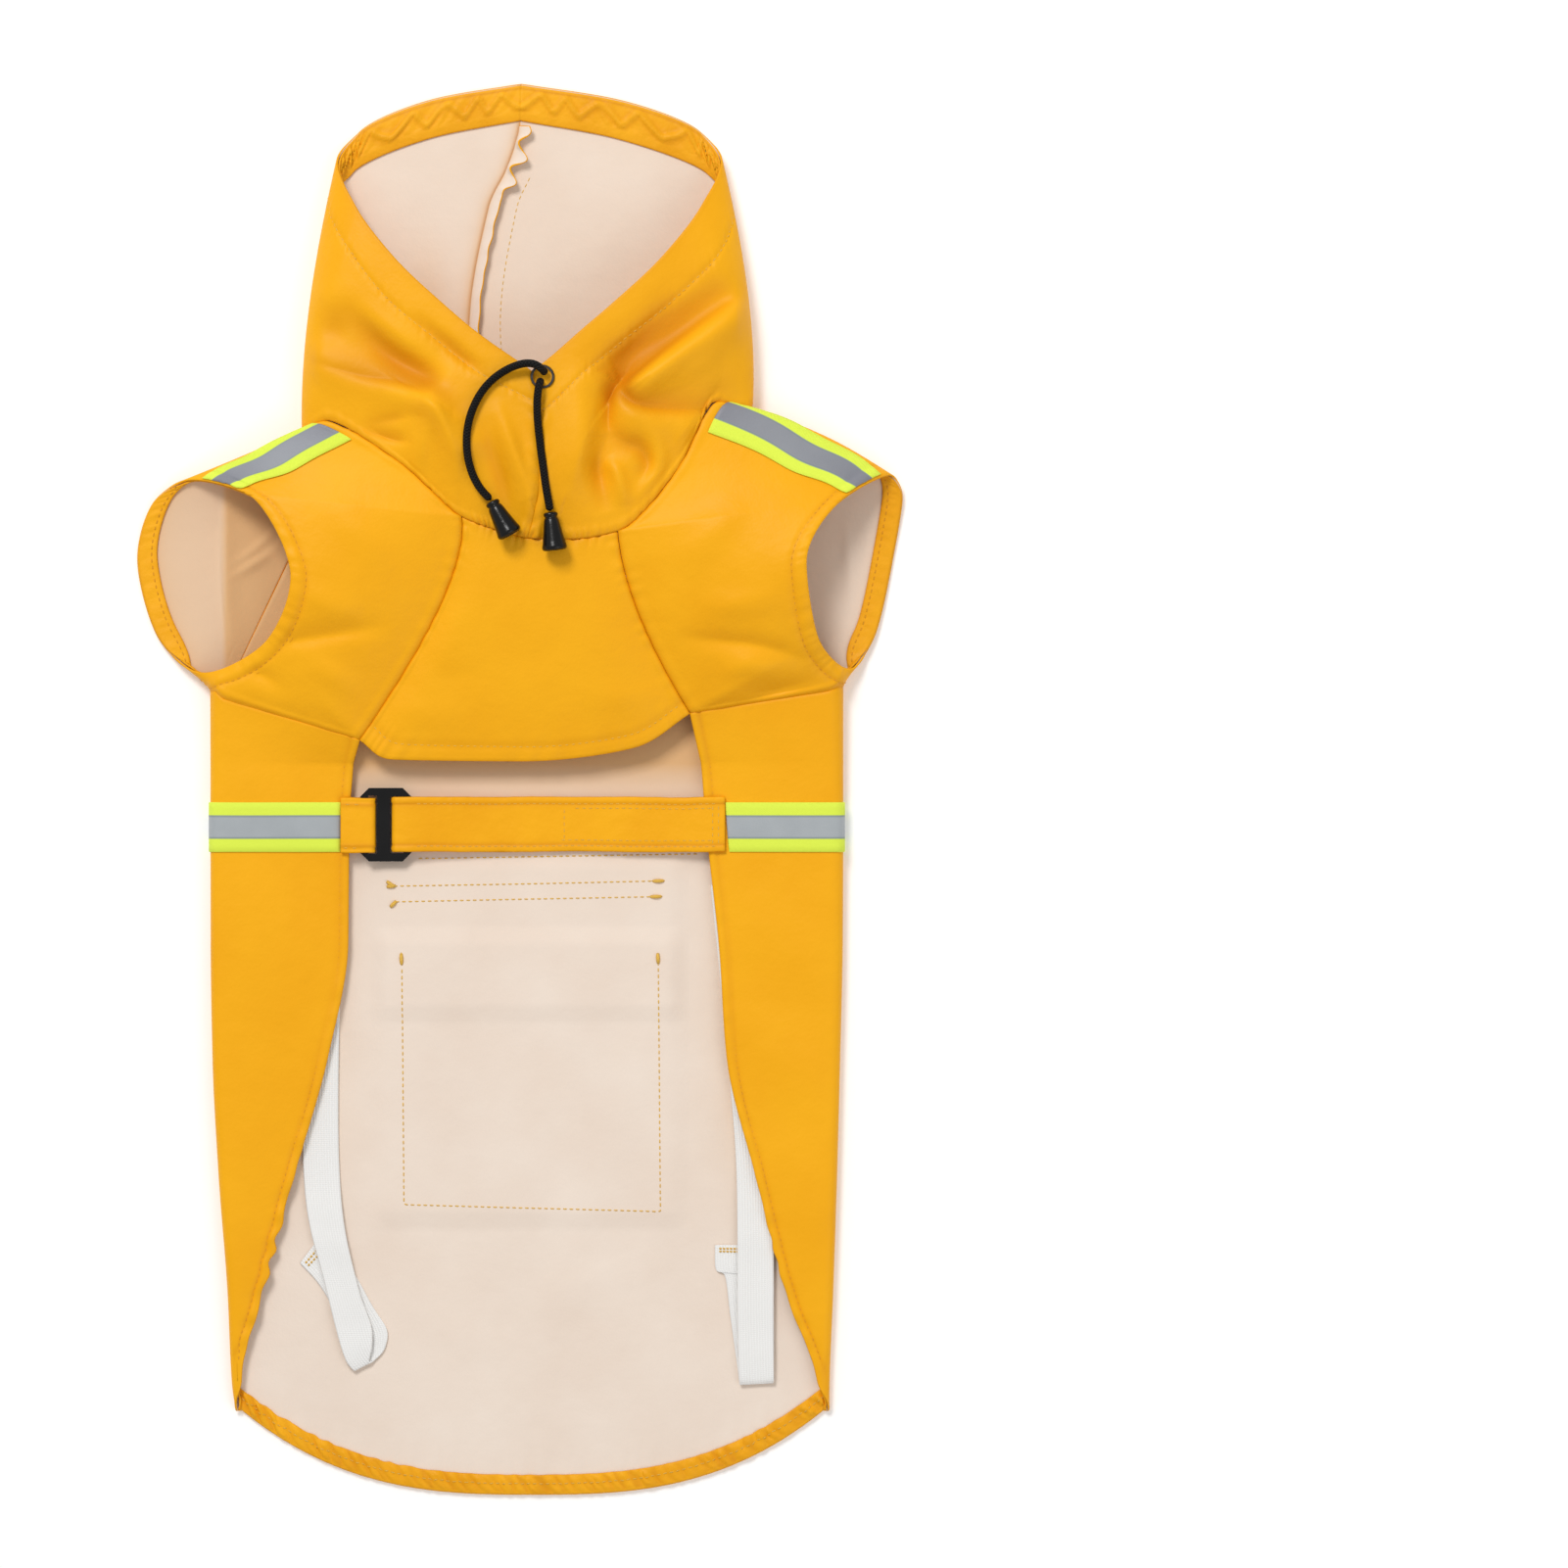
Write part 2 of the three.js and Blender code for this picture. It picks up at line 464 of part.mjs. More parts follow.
function chestPanel() {
  const rows = grid(steps(0, 1, 7), steps(0, 1, 10), chestSurface);
  return wall(trimmed(rows, ['first row', 'first column', 'last column']), CLOTH);
}

// Sleeves. place counts the eight places of the cuff's table, and armhole() gives the seam point for it:
// shoulder, neck corner, raglan seam, chest corner, side fold, back raglan seam and back neck corner.
function armhole(side, place) {
  const sign = side === 'left' ? -1 : 1;
  if (place <= 1) return neckEnds[side](lerp(SHOULDER, 2, place));
  if (place <= 3) return raglanSeam(side, (place - 1) / 2);
  if (place <= 4) return bodyTop(sign * lerp(2, 1.25, place - 3));
  if (place <= 5) return bodyTop(sign * lerp(1.25, 0.84, place - 4));
  if (place <= 6) return bodyTop(sign * lerp(0.84, BACK_NECK_SHARE, place - 5));
  return neckEnds[side](lerp(6, SHOULDER, (place - 6) / 2));
}

const cuffs = Object.fromEntries(['left', 'right'].map((side) => [
  side,
  closedCurve(CUFF.map((row) => new THREE.Vector3(...row[side], row[`${side}Z`]))),
]));
const sleeveBulge = closedCurve(SLEEVE_BULGE.map((height) => new THREE.Vector3(0, 0, height)));

// s runs from the armhole to the cuff.
function sleeveSurface(side, place, s) {
  const wrapped = (place + CUFF.length) % CUFF.length;
  const point = armhole(side, wrapped).lerp(cuffs[side](wrapped), s);
  const fromTop = Math.min(wrapped, CUFF.length - wrapped);
  point.y += 4 * s * (1 - s) * SLEEVE_TOP_RISE[side] * clamp(1 - fromTop, 0, 1);
  point.z += 4 * s * (1 - s) * sleeveBulge(wrapped).z;
  return point;
}

const sleevePlaces = SLEEVE_SAMPLES.flatMap((count, place) => steps(place, place + 1, count).slice(0, count));
const sleeveLevels = steps(0, 1, 5);

function sleeve(side) {
  const rows = grid(sleeveLevels, sleevePlaces, (place, s) => sleeveSurface(side, place, s));
  const atNeck = (j) => (sleevePlaces[j] > 5.9 || sleevePlaces[j] < 0.3 ? SLEEVE_NECK_TRIM : SEAM_TRIM);
  return wall(trimmed(rows, ['first row'], SEAM_TRIM, atNeck), CLOTH, true);
}

function cuffTurnUp(side) {
  const inwards = side === 'left' ? 1 : -1;
  const start = (place) => {
    const length = armhole(side, place).distanceTo(cuffs[side](place));
    return 1 - Math.min(0.7, CUFF_TURN_UP / length);
  };
  const rows = grid([0, 0.5, 1], sleevePlaces,
    (place, share) => sleeveSurface(side, place, lerp(start(place), 0.99, share)));
  return wall(offsetGrid(rows, inwards * (CLOTH / 2 + 2 * SEAM_GAP + TURN_UP / 2), true), TURN_UP, true);
}

// The place round the sleeve that is a distance down from its top line, measured over the cloth.
function placeDown(side, s, distance) {
  const step = 0.02;
  let place = 0;
  let length = 0;
  while (length < distance) {
    length += sleeveSurface(side, place, s).distanceTo(sleeveSurface(side, place + step, s));
    place += step;
  }
  return place;
}

function sleeveTape(side) {
  const outwards = side === 'left' ? -1 : 1;
  const levels = [0.1, ...sleeveLevels.slice(1, -1), 0.97];
  const downs = steps(SLEEVE_TAPE.from, SLEEVE_TAPE.from + SLEEVE_TAPE.width, 5);
  const rows = grid(levels, downs, (down, s) => sleeveSurface(side, placeDown(side, s, down), s));
  return wall(offsetGrid(rows, outwards * (CLOTH / 2 + 2.5 * SEAM_GAP + TAPE / 2)), TAPE);
}

// Pocket: a patch and its flap, between the back panel and the surface that the coat lies on
function flatPiece({ centreX, halfWidth }, ys, height) {
  const rows = grid(ys, steps(centreX - halfWidth, centreX + halfWidth, 2),
    (x, y) => new THREE.Vector3(x, y, height(y)));
  return wall(rows, TRIM);
}

function pocketPatch() {
  const climb = (y) => clamp((y - (POCKET_FLAP.low - 8)) / 7, 0, 1);
  const ys = [POCKET.low, POCKET_FLAP.low - 8, POCKET_FLAP.low - 1, POCKET.high];
  return flatPiece(POCKET, ys, (y) => TRIM / 2 + (TRIM + SEAM_GAP) * climb(y));
}

function pocketFlap() {
  return flatPiece(POCKET_FLAP, [POCKET_FLAP.low, POCKET_FLAP.high], () => TRIM / 2);
}

// Belt: two strips that each turn round a bar of the slider, as paths in x and z
function turnRound(centreX, centreZ, radius, from, to) {
  return steps(from, to, 6).map((angle) => [
    centreX + radius * Math.cos(angle), centreZ + radius * Math.sin(angle),
  ]);
}

function strip(path, centreY, width, thickness) {
  const rows = [centreY - width / 2, centreY + width / 2].map(
    (y) => path.map(([x, z]) => new THREE.Vector3(x, y, z)),
  );
  return wall(rows, thickness);
}

const BAR_CENTRE_Z = SLIDER.bottom + SLIDER.thickness / 2;
const LOOP_RADIUS = SLIDER.thickness / 2 + SEAM_GAP + TRIM / 2;
const centreBarLeft = SLIDER.left + SLIDER_BARS.leftBar + SLIDER_BARS.leftSlot;
const centreBarRight = centreBarLeft + SLIDER_BARS.centreBar;

function beltTab() {
  const turnX = centreBarLeft - 0.6 - TRIM / 2 - LOOP_RADIUS;
  return strip([
    [BELT.leftEnd, 7.8], [-78.4, 7.9], [-76.2, 6.7], [-74.7, 3.8],
    ...turnRound(turnX, BAR_CENTRE_Z, LOOP_RADIUS, -Math.PI / 2, Math.PI / 2),
    [-74.6, 8.9], [-78.4, 8.9], [BELT.leftEnd, 8.9],
  ], BELT.centreY - 0.3, BELT.width, TRIM);
}

function beltStrap() {
  const turnX = centreBarRight + 0.6 + TRIM / 2 + LOOP_RADIUS;
  return strip([
    [BELT.rightEnd, 8.0], [86, 8.0], [78, 7.0], [64, 5.6], [30, 4.9], [0, 4.9], [-20, 5.6], [-38, 7.4], [-48, 8.3],
    ...turnRound(turnX, BAR_CENTRE_Z, LOOP_RADIUS, Math.PI / 2, (3 * Math.PI) / 2),
    [-48, 3.8], [-30, 3.1], [BELT.freeEnd, 3.1],
  ], BELT.centreY, BELT.width, TRIM);
}

function slider() {
  const { left, right, low, high, chamfer } = SLIDER;
  const frame = new THREE.Shape([
    new THREE.Vector2(left + chamfer, low), new THREE.Vector2(right - chamfer, low),
    new THREE.Vector2(right, low + chamfer), new THREE.Vector2(right, high - chamfer),
    new THREE.Vector2(right - chamfer, high), new THREE.Vector2(left + chamfer, high),
    new THREE.Vector2(left, high - chamfer), new THREE.Vector2(left, low + chamfer),
  ]);
  const slot = (from, to, rail) => new THREE.Path([
    new THREE.Vector2(from, low + rail), new THREE.Vector2(from, high - rail),
    new THREE.Vector2(to, high - rail), new THREE.Vector2(to, low + rail),
  ]);
  frame.holes = [
    slot(left + SLIDER_BARS.leftBar, centreBarLeft, SLIDER_RAILS.leftSlot),
    slot(centreBarRight, centreBarRight + SLIDER_BARS.rightSlot, SLIDER_RAILS.rightSlot),
  ];
  const geometry = new THREE.ExtrudeGeometry(frame, { depth: SLIDER.thickness, bevelEnabled: false });
  return geometry.translate(0, 0, SLIDER.bottom);
}

// A leg elastic: a flat band whose cross direction stays level and square to its route. Past the loop at
// the end of the route, the cross direction is that of the straight line back to the anchor.
const LOOP_POINTS = 4;
const ELASTIC_STEPS = 30;

function elasticCross(route, share) {
  const loopStart = route.length - LOOP_POINTS;
  const at = Math.floor(share * (route.length - 1));
  const [from, to] = at < loopStart ? [route[at], route[at + 1]] : [route[loopStart], route.at(-1)];
  const sign = at < loopStart ? 1 : -1;
  return new THREE.Vector3(from[1] - to[1], to[0] - from[0], 0).normalize().multiplyScalar(sign);
}

function elastic(side) {
  const route = ELASTIC_ROUTES[side];
  const curve = new THREE.CatmullRomCurve3(route.map(vector), false, 'centripetal');
  const shares = steps(0, 1, ELASTIC_STEPS);
  const across = shares.map((share) => elasticCross(route, share));
  const smooth = across.map((_, i) => across.slice(Math.max(0, i - 2), i + 3)
    .reduce((sum, v) => sum.add(v), new THREE.Vector3()).normalize());
  const rows = [-0.5, 0.5].map((edge) => shares.map(
    (share, i) => curve.getPoint(share).addScaledVector(smooth[i], edge * ELASTIC.width),
  ));
  return wall(rows, TRIM);
}

// Drawstring
function cord(route) {
  const curve = new THREE.CatmullRomCurve3(route.map(vector), false, 'centripetal');
  const section = new THREE.Shape(steps(0, 2 * Math.PI, CORD.sides).slice(0, CORD.sides).map(
    (angle) => new THREE.Vector2(Math.cos(angle), Math.sin(angle)).multiplyScalar(CORD.diameter / 2),
  ));
  return new THREE.ExtrudeGeometry(section, { steps: 16, bevelEnabled: false, extrudePath: curve });
}

function place(geometry, at, axis) {
  const turn = new THREE.Quaternion().setFromUnitVectors(new THREE.Vector3(0, 1, 0), axis.clone().normalize());
  return geometry.applyQuaternion(turn).translate(at.x, at.y, at.z);
}

function cordEnd(route, aim) {
  const { length, neckRadius, mouthRadius } = CORD_END;
  const profile = [
    [0, 0], [neckRadius, 0], [neckRadius + 0.2, 2.2], [mouthRadius - 0.3, length - 4],
    [mouthRadius, length - 2], [mouthRadius - 1.0, length - 0.4], [0, length],
  ].map(([x, y]) => new THREE.Vector2(x, y));
  const axis = vector(aim).normalize();
  const start = vector(route.at(-1)).addScaledVector(axis, 2 * SEAM_GAP);
  return place(new THREE.LatheGeometry(profile, 12), start, axis);
}

function eyelet() {
  const { outerRadius, holeRadius, thickness } = EYELET;
  const profile = [
    [holeRadius, 0], [outerRadius, 0], [outerRadius - 0.3, thickness], [holeRadius, thickness], [holeRadius, 0],
  ].map(([x, y]) => new THREE.Vector2(x, y));
  return place(new THREE.LatheGeometry(profile, 18), vector(EYELET.centre), new THREE.Vector3(0, 0, 1));
}

const yellowCloth = new THREE.MeshStandardMaterial({ color: 0xf2ab1b, roughness: 0.55, metalness: 0 });
const hemCloth = new THREE.MeshStandardMaterial({ color: 0xe9a015, roughness: 0.6, metalness: 0 });
const reflective = new THREE.MeshStandardMaterial({ color: 0xb9bcc0, roughness: 0.35, metalness: 0.3 });
const blackPlastic = new THREE.MeshStandardMaterial({ color: 0x16181a, roughness: 0.4, metalness: 0 });
const blackCord = new THREE.MeshStandardMaterial({ color: 0x101012, roughness: 0.8, metalness: 0 });
const darkMetal = new THREE.MeshStandardMaterial({ color: 0x3a3c3f, roughness: 0.35, metalness: 0.9 });
const whiteElastic = new THREE.MeshStandardMaterial({ color: 0xf0eeea, roughness: 0.8, metalness: 0 });

const raincoat = new THREE.Group();

function piece(name, geometry, material) {
  geometry.deleteAttribute('normal');
  geometry.deleteAttribute('uv');
  const closed = mergeVertices(geometry, 1e-4);
  closed.computeVertexNormals();
  const mesh = new THREE.Mesh(closed, material);
  mesh.name = name;
  raincoat.add(mesh);
}

piece('body_panel', bodyPanel(), yellowCloth);
piece('hem_turn_up', hemTurnUp(), hemCloth);
piece('chest_panel', chestPanel(), yellowCloth);
for (const side of ['left', 'right']) {
  piece(`sleeve_${side}`, sleeve(side), yellowCloth);
  piece(`cuff_turn_up_${side}`, cuffTurnUp(side), hemCloth);
  piece(`sleeve_tape_${side}`, sleeveTape(side), reflective);
  piece(`hood_${side}`, hoodHalf(side), yellowCloth);
  piece(`hood_casing_${side}`, hoodCasing(side), hemCloth);
  piece(`leg_elastic_${side}`, elastic(side), whiteElastic);
}
piece('body_tape', bodyTape(), reflective);
piece('pocket_patch', pocketPatch(), yellowCloth);
piece('pocket_flap', pocketFlap(), yellowCloth);
piece('belt_tab', beltTab(), yellowCloth);
piece('belt_strap', beltStrap(), yellowCloth);
piece('belt_slider', slider(), blackPlastic);
for (const [name, route] of Object.entries(CORD_ROUTES)) {
  piece(`cord_${name}`, cord(route), blackCord);
  piece(`cord_end_${name}`, cordEnd(route, CORD_END_AIM[name]), blackPlastic);
}
piece('eyelet', eyelet(), darkMetal);

export default raincoat;
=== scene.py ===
# A dog raincoat laid flat on its back, belly side up, seen from straight above.
# X runs across the coat, +Y from its hem to its hood and +Z up from the floor that it lies on.
import bpy
import numpy as np
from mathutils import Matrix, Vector


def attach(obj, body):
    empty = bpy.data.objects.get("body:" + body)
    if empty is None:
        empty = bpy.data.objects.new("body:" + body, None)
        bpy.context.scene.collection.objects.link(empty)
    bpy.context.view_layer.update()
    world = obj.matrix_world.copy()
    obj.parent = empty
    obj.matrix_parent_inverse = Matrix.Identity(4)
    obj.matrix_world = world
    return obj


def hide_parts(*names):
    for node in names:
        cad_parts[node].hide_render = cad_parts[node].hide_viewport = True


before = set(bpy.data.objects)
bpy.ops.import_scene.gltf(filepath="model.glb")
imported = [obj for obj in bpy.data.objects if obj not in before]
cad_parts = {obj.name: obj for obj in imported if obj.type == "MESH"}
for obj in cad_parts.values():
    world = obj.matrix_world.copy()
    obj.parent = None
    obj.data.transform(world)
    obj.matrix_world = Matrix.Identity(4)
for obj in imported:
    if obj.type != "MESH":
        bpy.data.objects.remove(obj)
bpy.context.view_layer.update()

# Camera
# It looks straight down from far enough away that the coat shows no perspective to speak of.
VIEW_WIDTH = 0.7205
VIEW_CENTRE = (0.1213, 0.0025)
camera_data = bpy.data.cameras.new("camera")
camera_data.lens = 135
camera_data.sensor_width = 36
camera = bpy.data.objects.new("camera", camera_data)
camera.location = (*VIEW_CENTRE, VIEW_WIDTH * camera_data.lens / camera_data.sensor_width)
bpy.context.scene.collection.objects.link(camera)
bpy.context.scene.camera = camera

# Drawstring
# Both free ends of one round braided cord, black polyester over a core. They leave the hood's casing
# through an eyelet at the point of the face opening, and lie on the hood.
CORD_WIDTH = 0.0036
CORD_SIDES = 20
STRAND_PITCH = 0.0022
STRAND_PITCH_ROUND = 0.0014137
UP = np.array([0.0, 0.0, 1.0])
CORD_ROUTES = {
    "curved": [
        (0.0128, 0.1892, 0.0352), (0.0120, 0.1901, 0.0373), (0.0102, 0.1916, 0.0391),
        (0.0074, 0.1928, 0.0398), (0.0036, 0.1929, 0.0393), (-0.0008, 0.1918, 0.0380),
        (-0.0054, 0.1897, 0.0368), (-0.0102, 0.1864, 0.0362), (-0.0146, 0.1818, 0.0363),
        (-0.0183, 0.1758, 0.0368), (-0.0211, 0.1684, 0.0375), (-0.0224, 0.1602, 0.0379),
        (-0.0221, 0.1514, 0.0366), (-0.0201, 0.1434, 0.0351), (-0.0166, 0.1368, 0.0343),
        (-0.0116, 0.1312, 0.0341),
    ],
    "straight": [
        (0.0109, 0.1853, 0.0352), (0.0106, 0.1843, 0.0373), (0.0102, 0.1823, 0.0389),
        (0.0098, 0.1792, 0.0394), (0.0095, 0.1752, 0.0386), (0.0095, 0.1710, 0.0373),
        (0.0097, 0.1668, 0.0365), (0.0101, 0.1624, 0.0362), (0.0106, 0.1580, 0.0360),
        (0.0111, 0.1536, 0.0358), (0.0117, 0.1492, 0.0355), (0.0123, 0.1448, 0.0351),
        (0.0129, 0.1402, 0.0347), (0.0136, 0.1356, 0.0343), (0.0144, 0.1310, 0.0340),
        (0.0152, 0.1264, 0.0338),
    ],
}


def unit(vectors):
    """Each vector divided by its length."""
    return vectors / np.maximum(np.linalg.norm(vectors, axis=-1, keepdims=True), 1e-12)


def through_points(points, count):
    """Catmull-Rom curve: between two points, the cubic whose end slopes are half of the step across each."""
    points = np.asarray(points, float)
    slopes = np.gradient(points, axis=0)
    t = np.linspace(0, len(points) - 1, count)
    i = np.minimum(t.astype(int), len(points) - 2)
    s = (t - i)[:, None]
    start, end = points[i], points[i + 1]
    return (start * (1 + 2 * s) * (1 - s) ** 2 + end * s**2 * (3 - 2 * s)
            + slopes[i] * s * (1 - s) ** 2 - slopes[i + 1] * s**2 * (1 - s))


def run_length(points):
    """Distance along a path to each of its points: the running sum of its steps."""
    steps = np.linalg.norm(np.diff(points, axis=0), axis=-1)
    return np.concatenate([[0.0], np.cumsum(steps)])


def make_piece(name, vertices, faces, corner_uv, materials, face_material=None, seam=None, inner_shade=None):
    """A mesh object of four-cornered faces, riding on the coat. Its UV map is the flat cut in metres. Its point
    attributes hold painted shade: seam, 1 where painted shade darkens the cloth along seams, in creases and
    beside folds, and inner_shade, 1 where painted shade darkens and warms the cloth inside the coat."""
    mesh = bpy.data.meshes.new(name)
    mesh.vertices.add(len(vertices))
    mesh.vertices.foreach_set("co", np.ascontiguousarray(vertices, dtype=np.float32).ravel())
    mesh.loops.add(faces.size)
    mesh.loops.foreach_set("vertex_index", faces.astype(np.int32).ravel())
    mesh.polygons.add(len(faces))
    mesh.polygons.foreach_set("loop_start", np.arange(0, faces.size, faces.shape[1], dtype=np.int32))
    if face_material is not None:
        mesh.polygons.foreach_set("material_index", face_material.astype(np.int32))
    for material in materials:
        mesh.materials.append(material)
    mesh.uv_layers.new(name="cut").data.foreach_set("uv", corner_uv.astype(np.float32).ravel())
    for attribute, values in (("seam", seam), ("inner_shade", inner_shade)):
        values = np.zeros(len(vertices)) if values is None else values
        mesh.attributes.new(attribute, "FLOAT", "POINT").data.foreach_set("value", values.astype(np.float32))
    mesh.update()
    mesh.shade_smooth()
    piece = bpy.data.objects.new(name, mesh)
    bpy.context.scene.collection.objects.link(piece)
    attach(piece, "root")
    return piece


def grid_faces(rows, columns, ring=False):
    """Corner numbers of a grid's faces, and each corner's row and column, counted on past a ring's seam."""
    i, j = np.meshgrid(np.arange(rows - 1), np.arange(columns if ring else columns - 1), indexing="ij")
    corner_rows = np.stack([i, i, i + 1, i + 1], -1).reshape(-1, 4)
    corner_columns = np.stack([j, j + 1, j + 1, j], -1).reshape(-1, 4)
    return corner_rows * columns + corner_columns % columns, corner_rows, corner_columns


def circle(side, upper, sides):
    """Unit vectors all round an axis: cos a x the side vector + sin a x the upper one."""
    angle = np.linspace(0, 2 * np.pi, sides, endpoint=False)[:, None]
    return side[..., None, :] * np.cos(angle) + upper[..., None, :] * np.sin(angle)


def tube(name, path, radius, material):
    """Circles carried along a path: centre + radius x unit vectors round its tangent. Both ends close in a
    small dome. The UV map is the distance along, and the distance round."""
    tangent = unit(np.gradient(path, axis=0))
    side = unit(np.cross(tangent, UP))
    radii = np.full(len(path), radius)
    dome = np.array([0.05, 0.6, 0.9])
    radii[:3], radii[-3:] = radius * dome, radius * dome[::-1]
    ring = circle(side, np.cross(side, tangent), CORD_SIDES)
    vertices = (path[:, None] + radii[:, None, None] * ring).reshape(-1, 3)
    faces, rows, columns = grid_faces(len(path), CORD_SIDES, ring=True)
    uv = np.stack([run_length(path)[rows], columns * 2 * np.pi * radius / CORD_SIDES], -1)
    return make_piece(name, vertices, faces[:, ::-1], uv[:, ::-1], [material])


def new_material(name, colour, roughness):
    """A material with one Principled BSDF, its node tree and that shader."""
    material = bpy.data.materials.new(name)
    material.use_nodes = True
    shader = material.node_tree.nodes["Principled BSDF"]
    shader.inputs["Base Color"].default_value = (*colour, 1)
    shader.inputs["Roughness"].default_value = roughness
    return material, material.node_tree, shader


def add_node(tree, kind, settings=(), **inputs):
    """One node of a kind, with its settings, its inputs set to numbers or linked to sockets."""
    node = tree.nodes.new(kind)
    for key, value in dict(settings).items():
        setattr(node, key, value)
    for key, value in inputs.items():
        socket = node.inputs[int(key[1:])] if key[0] == "_" else node.inputs[key.replace("_", " ")]
        if isinstance(value, bpy.types.NodeSocket):
            tree.links.new(value, socket)
        else:
            socket.default_value = value
    return node


def maths(tree, operation, *values):
    """The result of a Math node on two or three numbers or sockets."""
    inputs = {f"_{i}": value for i, value in enumerate(values)}
    return add_node(tree, "ShaderNodeMath", {"operation": operation}, **inputs).outputs[0]


def remap(tree, value, low, high, to_low=0.0, to_high=1.0):
    """A value's place between low and high, carried to between two other limits and held inside them."""
    return add_node(tree, "ShaderNodeMapRange", _0=value, _1=low, _2=high, _3=to_low, _4=to_high).outputs[0]


def blend(tree, share, first, second):
    """The colour at a share of the way from one to another. Each is a colour or a socket."""
    first, second = (end if isinstance(end, bpy.types.NodeSocket) else (*end, 1) for end in (first, second))
    return add_node(tree, "ShaderNodeMix", {"data_type": "RGBA"}, _0=share, _6=first, _7=second).outputs[2]


def add_bump(tree, shader, height, distance):
    """Feeds a height to the shader's normal. distance is the relief's depth in metres."""
    bump = add_node(tree, "ShaderNodeBump", Strength=1.0, Distance=distance, Height=height)
    tree.links.new(bump.outputs["Normal"], shader.inputs["Normal"])


def cut_map(tree):
    """The piece's flat cut: its UV vector, the first distance and the second, in metres."""
    uv = add_node(tree, "ShaderNodeUVMap", {"uv_map": "cut"}).outputs[0]
    split = add_node(tree, "ShaderNodeSeparateXYZ", _0=uv)
    return uv, split.outputs[0], split.outputs[1]


def ripple(tree, distance, period):
    """Sine of a distance, with a period in metres."""
    return maths(tree, "SINE", maths(tree, "MULTIPLY", distance, 2 * np.pi / period))


def object_noise(tree, scale, detail, roughness=0.5):
    """Noise fixed to the object. scale is the number of its cells in a metre."""
    place = add_node(tree, "ShaderNodeTexCoord").outputs["Object"]
    return add_node(tree, "ShaderNodeTexNoise", Vector=place, Scale=scale, Detail=detail,
                    Roughness=roughness).outputs[0]


def new_group(name, inputs, outputs):
    """A node group with inputs and outputs that are numbers, and the nodes that hold them."""
    group = bpy.data.node_groups.new(name, "ShaderNodeTree")
    for names, in_out in ((inputs, "INPUT"), (outputs, "OUTPUT")):
        for socket in names:
            group.interface.new_socket(name=socket, in_out=in_out, socket_type="NodeSocketFloat")
    return group, group.nodes.new("NodeGroupInput"), group.nodes.new("NodeGroupOutput")


def braid_group():
    """Braid: two sets of strands, one each way round. Height is the larger of two sines of u x n +- v x m."""
    group, ins, outs = new_group("braid", ("Strands per metre", "Strands round per metre"), ("Height",))
    _, around, along = cut_map(group)
    along = maths(group, "MULTIPLY", along, ins.outputs[0])
    around = maths(group, "MULTIPLY", around, ins.outputs[1])
    one = maths(group, "SINE", maths(group, "ADD", along, around))
    other = maths(group, "SINE", maths(group, "SUBTRACT", along, around))
    group.links.new(maths(group, "MAXIMUM", one, other), outs.inputs[0])
    return group


def braided_cord_material():
    """Black polyester, with painted shade between its strands."""
    material, tree, shader = new_material("black_braided_cord", (0.004, 0.004, 0.0045), 0.55)
    braid = add_node(tree, "ShaderNodeGroup", {"node_tree": braid_group()},
                     _0=2 * np.pi / STRAND_PITCH, _1=2 * np.pi / STRAND_PITCH_ROUND).outputs[0]
    add_bump(tree, shader, braid, 0.0004)
    # Painted shade: the colour is darker where the braid's height is low.
    colour = blend(tree, remap(tree, braid, -0.5, 1.0), (0.0015, 0.0015, 0.0018), (0.009, 0.009, 0.0095))
    tree.links.new(colour, shader.inputs["Base Color"])
    shader.inputs["Specular IOR Level"].default_value = 0.22
    return material


cord_material = braided_cord_material()
for end, route in CORD_ROUTES.items():
    path = through_points(route, 160)
    drawstring = tube(f"drawstring_{end}", path, CORD_WIDTH / 2, cord_material)
    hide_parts(f"cord_{end}")


# Cord ends and eyelet
# A moulded black plastic bell is pressed on each end of the drawstring, and a pressed eyelet of blackened
# metal sits in the casing. The eyelet keeps its solid shape.
def moulded_plastic_material():
    """Black plastic with a fine grain, and a gloss that handling has made uneven."""
    material, tree, shader = new_material("black_moulded_plastic", (0.005, 0.005, 0.0055), 0.28)
    wear = object_noise(tree, 70.0, 4.0)
    tree.links.new(remap(tree, wear, 0.3, 0.7, 0.16, 0.3), shader.inputs["Roughness"])
    shader.inputs["Specular IOR Level"].default_value = 0.3
    add_bump(tree, shader, object_noise(tree, 900.0, 3.0), 0.00006)
    return material


def black_metal_material():
    """Blackened metal, with fine marks that change its gloss."""
    material, tree, shader = new_material("blackened_metal", (0.09, 0.09, 0.095), 0.3)
    shader.inputs["Metallic"].default_value = 1.0
    marks = object_noise(tree, 400.0, 3.0)
    tree.links.new(remap(tree, marks, 0.3, 0.7, 0.2, 0.45), shader.inputs["Roughness"])
    add_bump(tree, shader, marks, 0.00003)
    return material


CORD_END_SIDES = 40
CORD_END_FACET = 0.0008


def turned(name, profile, start, aim, material):
    """A profile of (radius, distance) turned round an axis, from a start point towards an aim."""
    axis = unit(np.array(aim, float))
    side = unit(np.cross(axis, UP))
    ring = circle(side, np.cross(side, axis), CORD_END_SIDES)
    vertices = np.array(start) + profile[:, 1, None, None] * axis + profile[:, 0, None, None] * ring
    faces, rows, columns = grid_faces(len(profile), CORD_END_SIDES, ring=True)
    uv = np.stack([run_length(profile)[rows], columns * CORD_END_FACET], -1)
    return make_piece(name, vertices.reshape(-1, 3), faces, uv, [material])


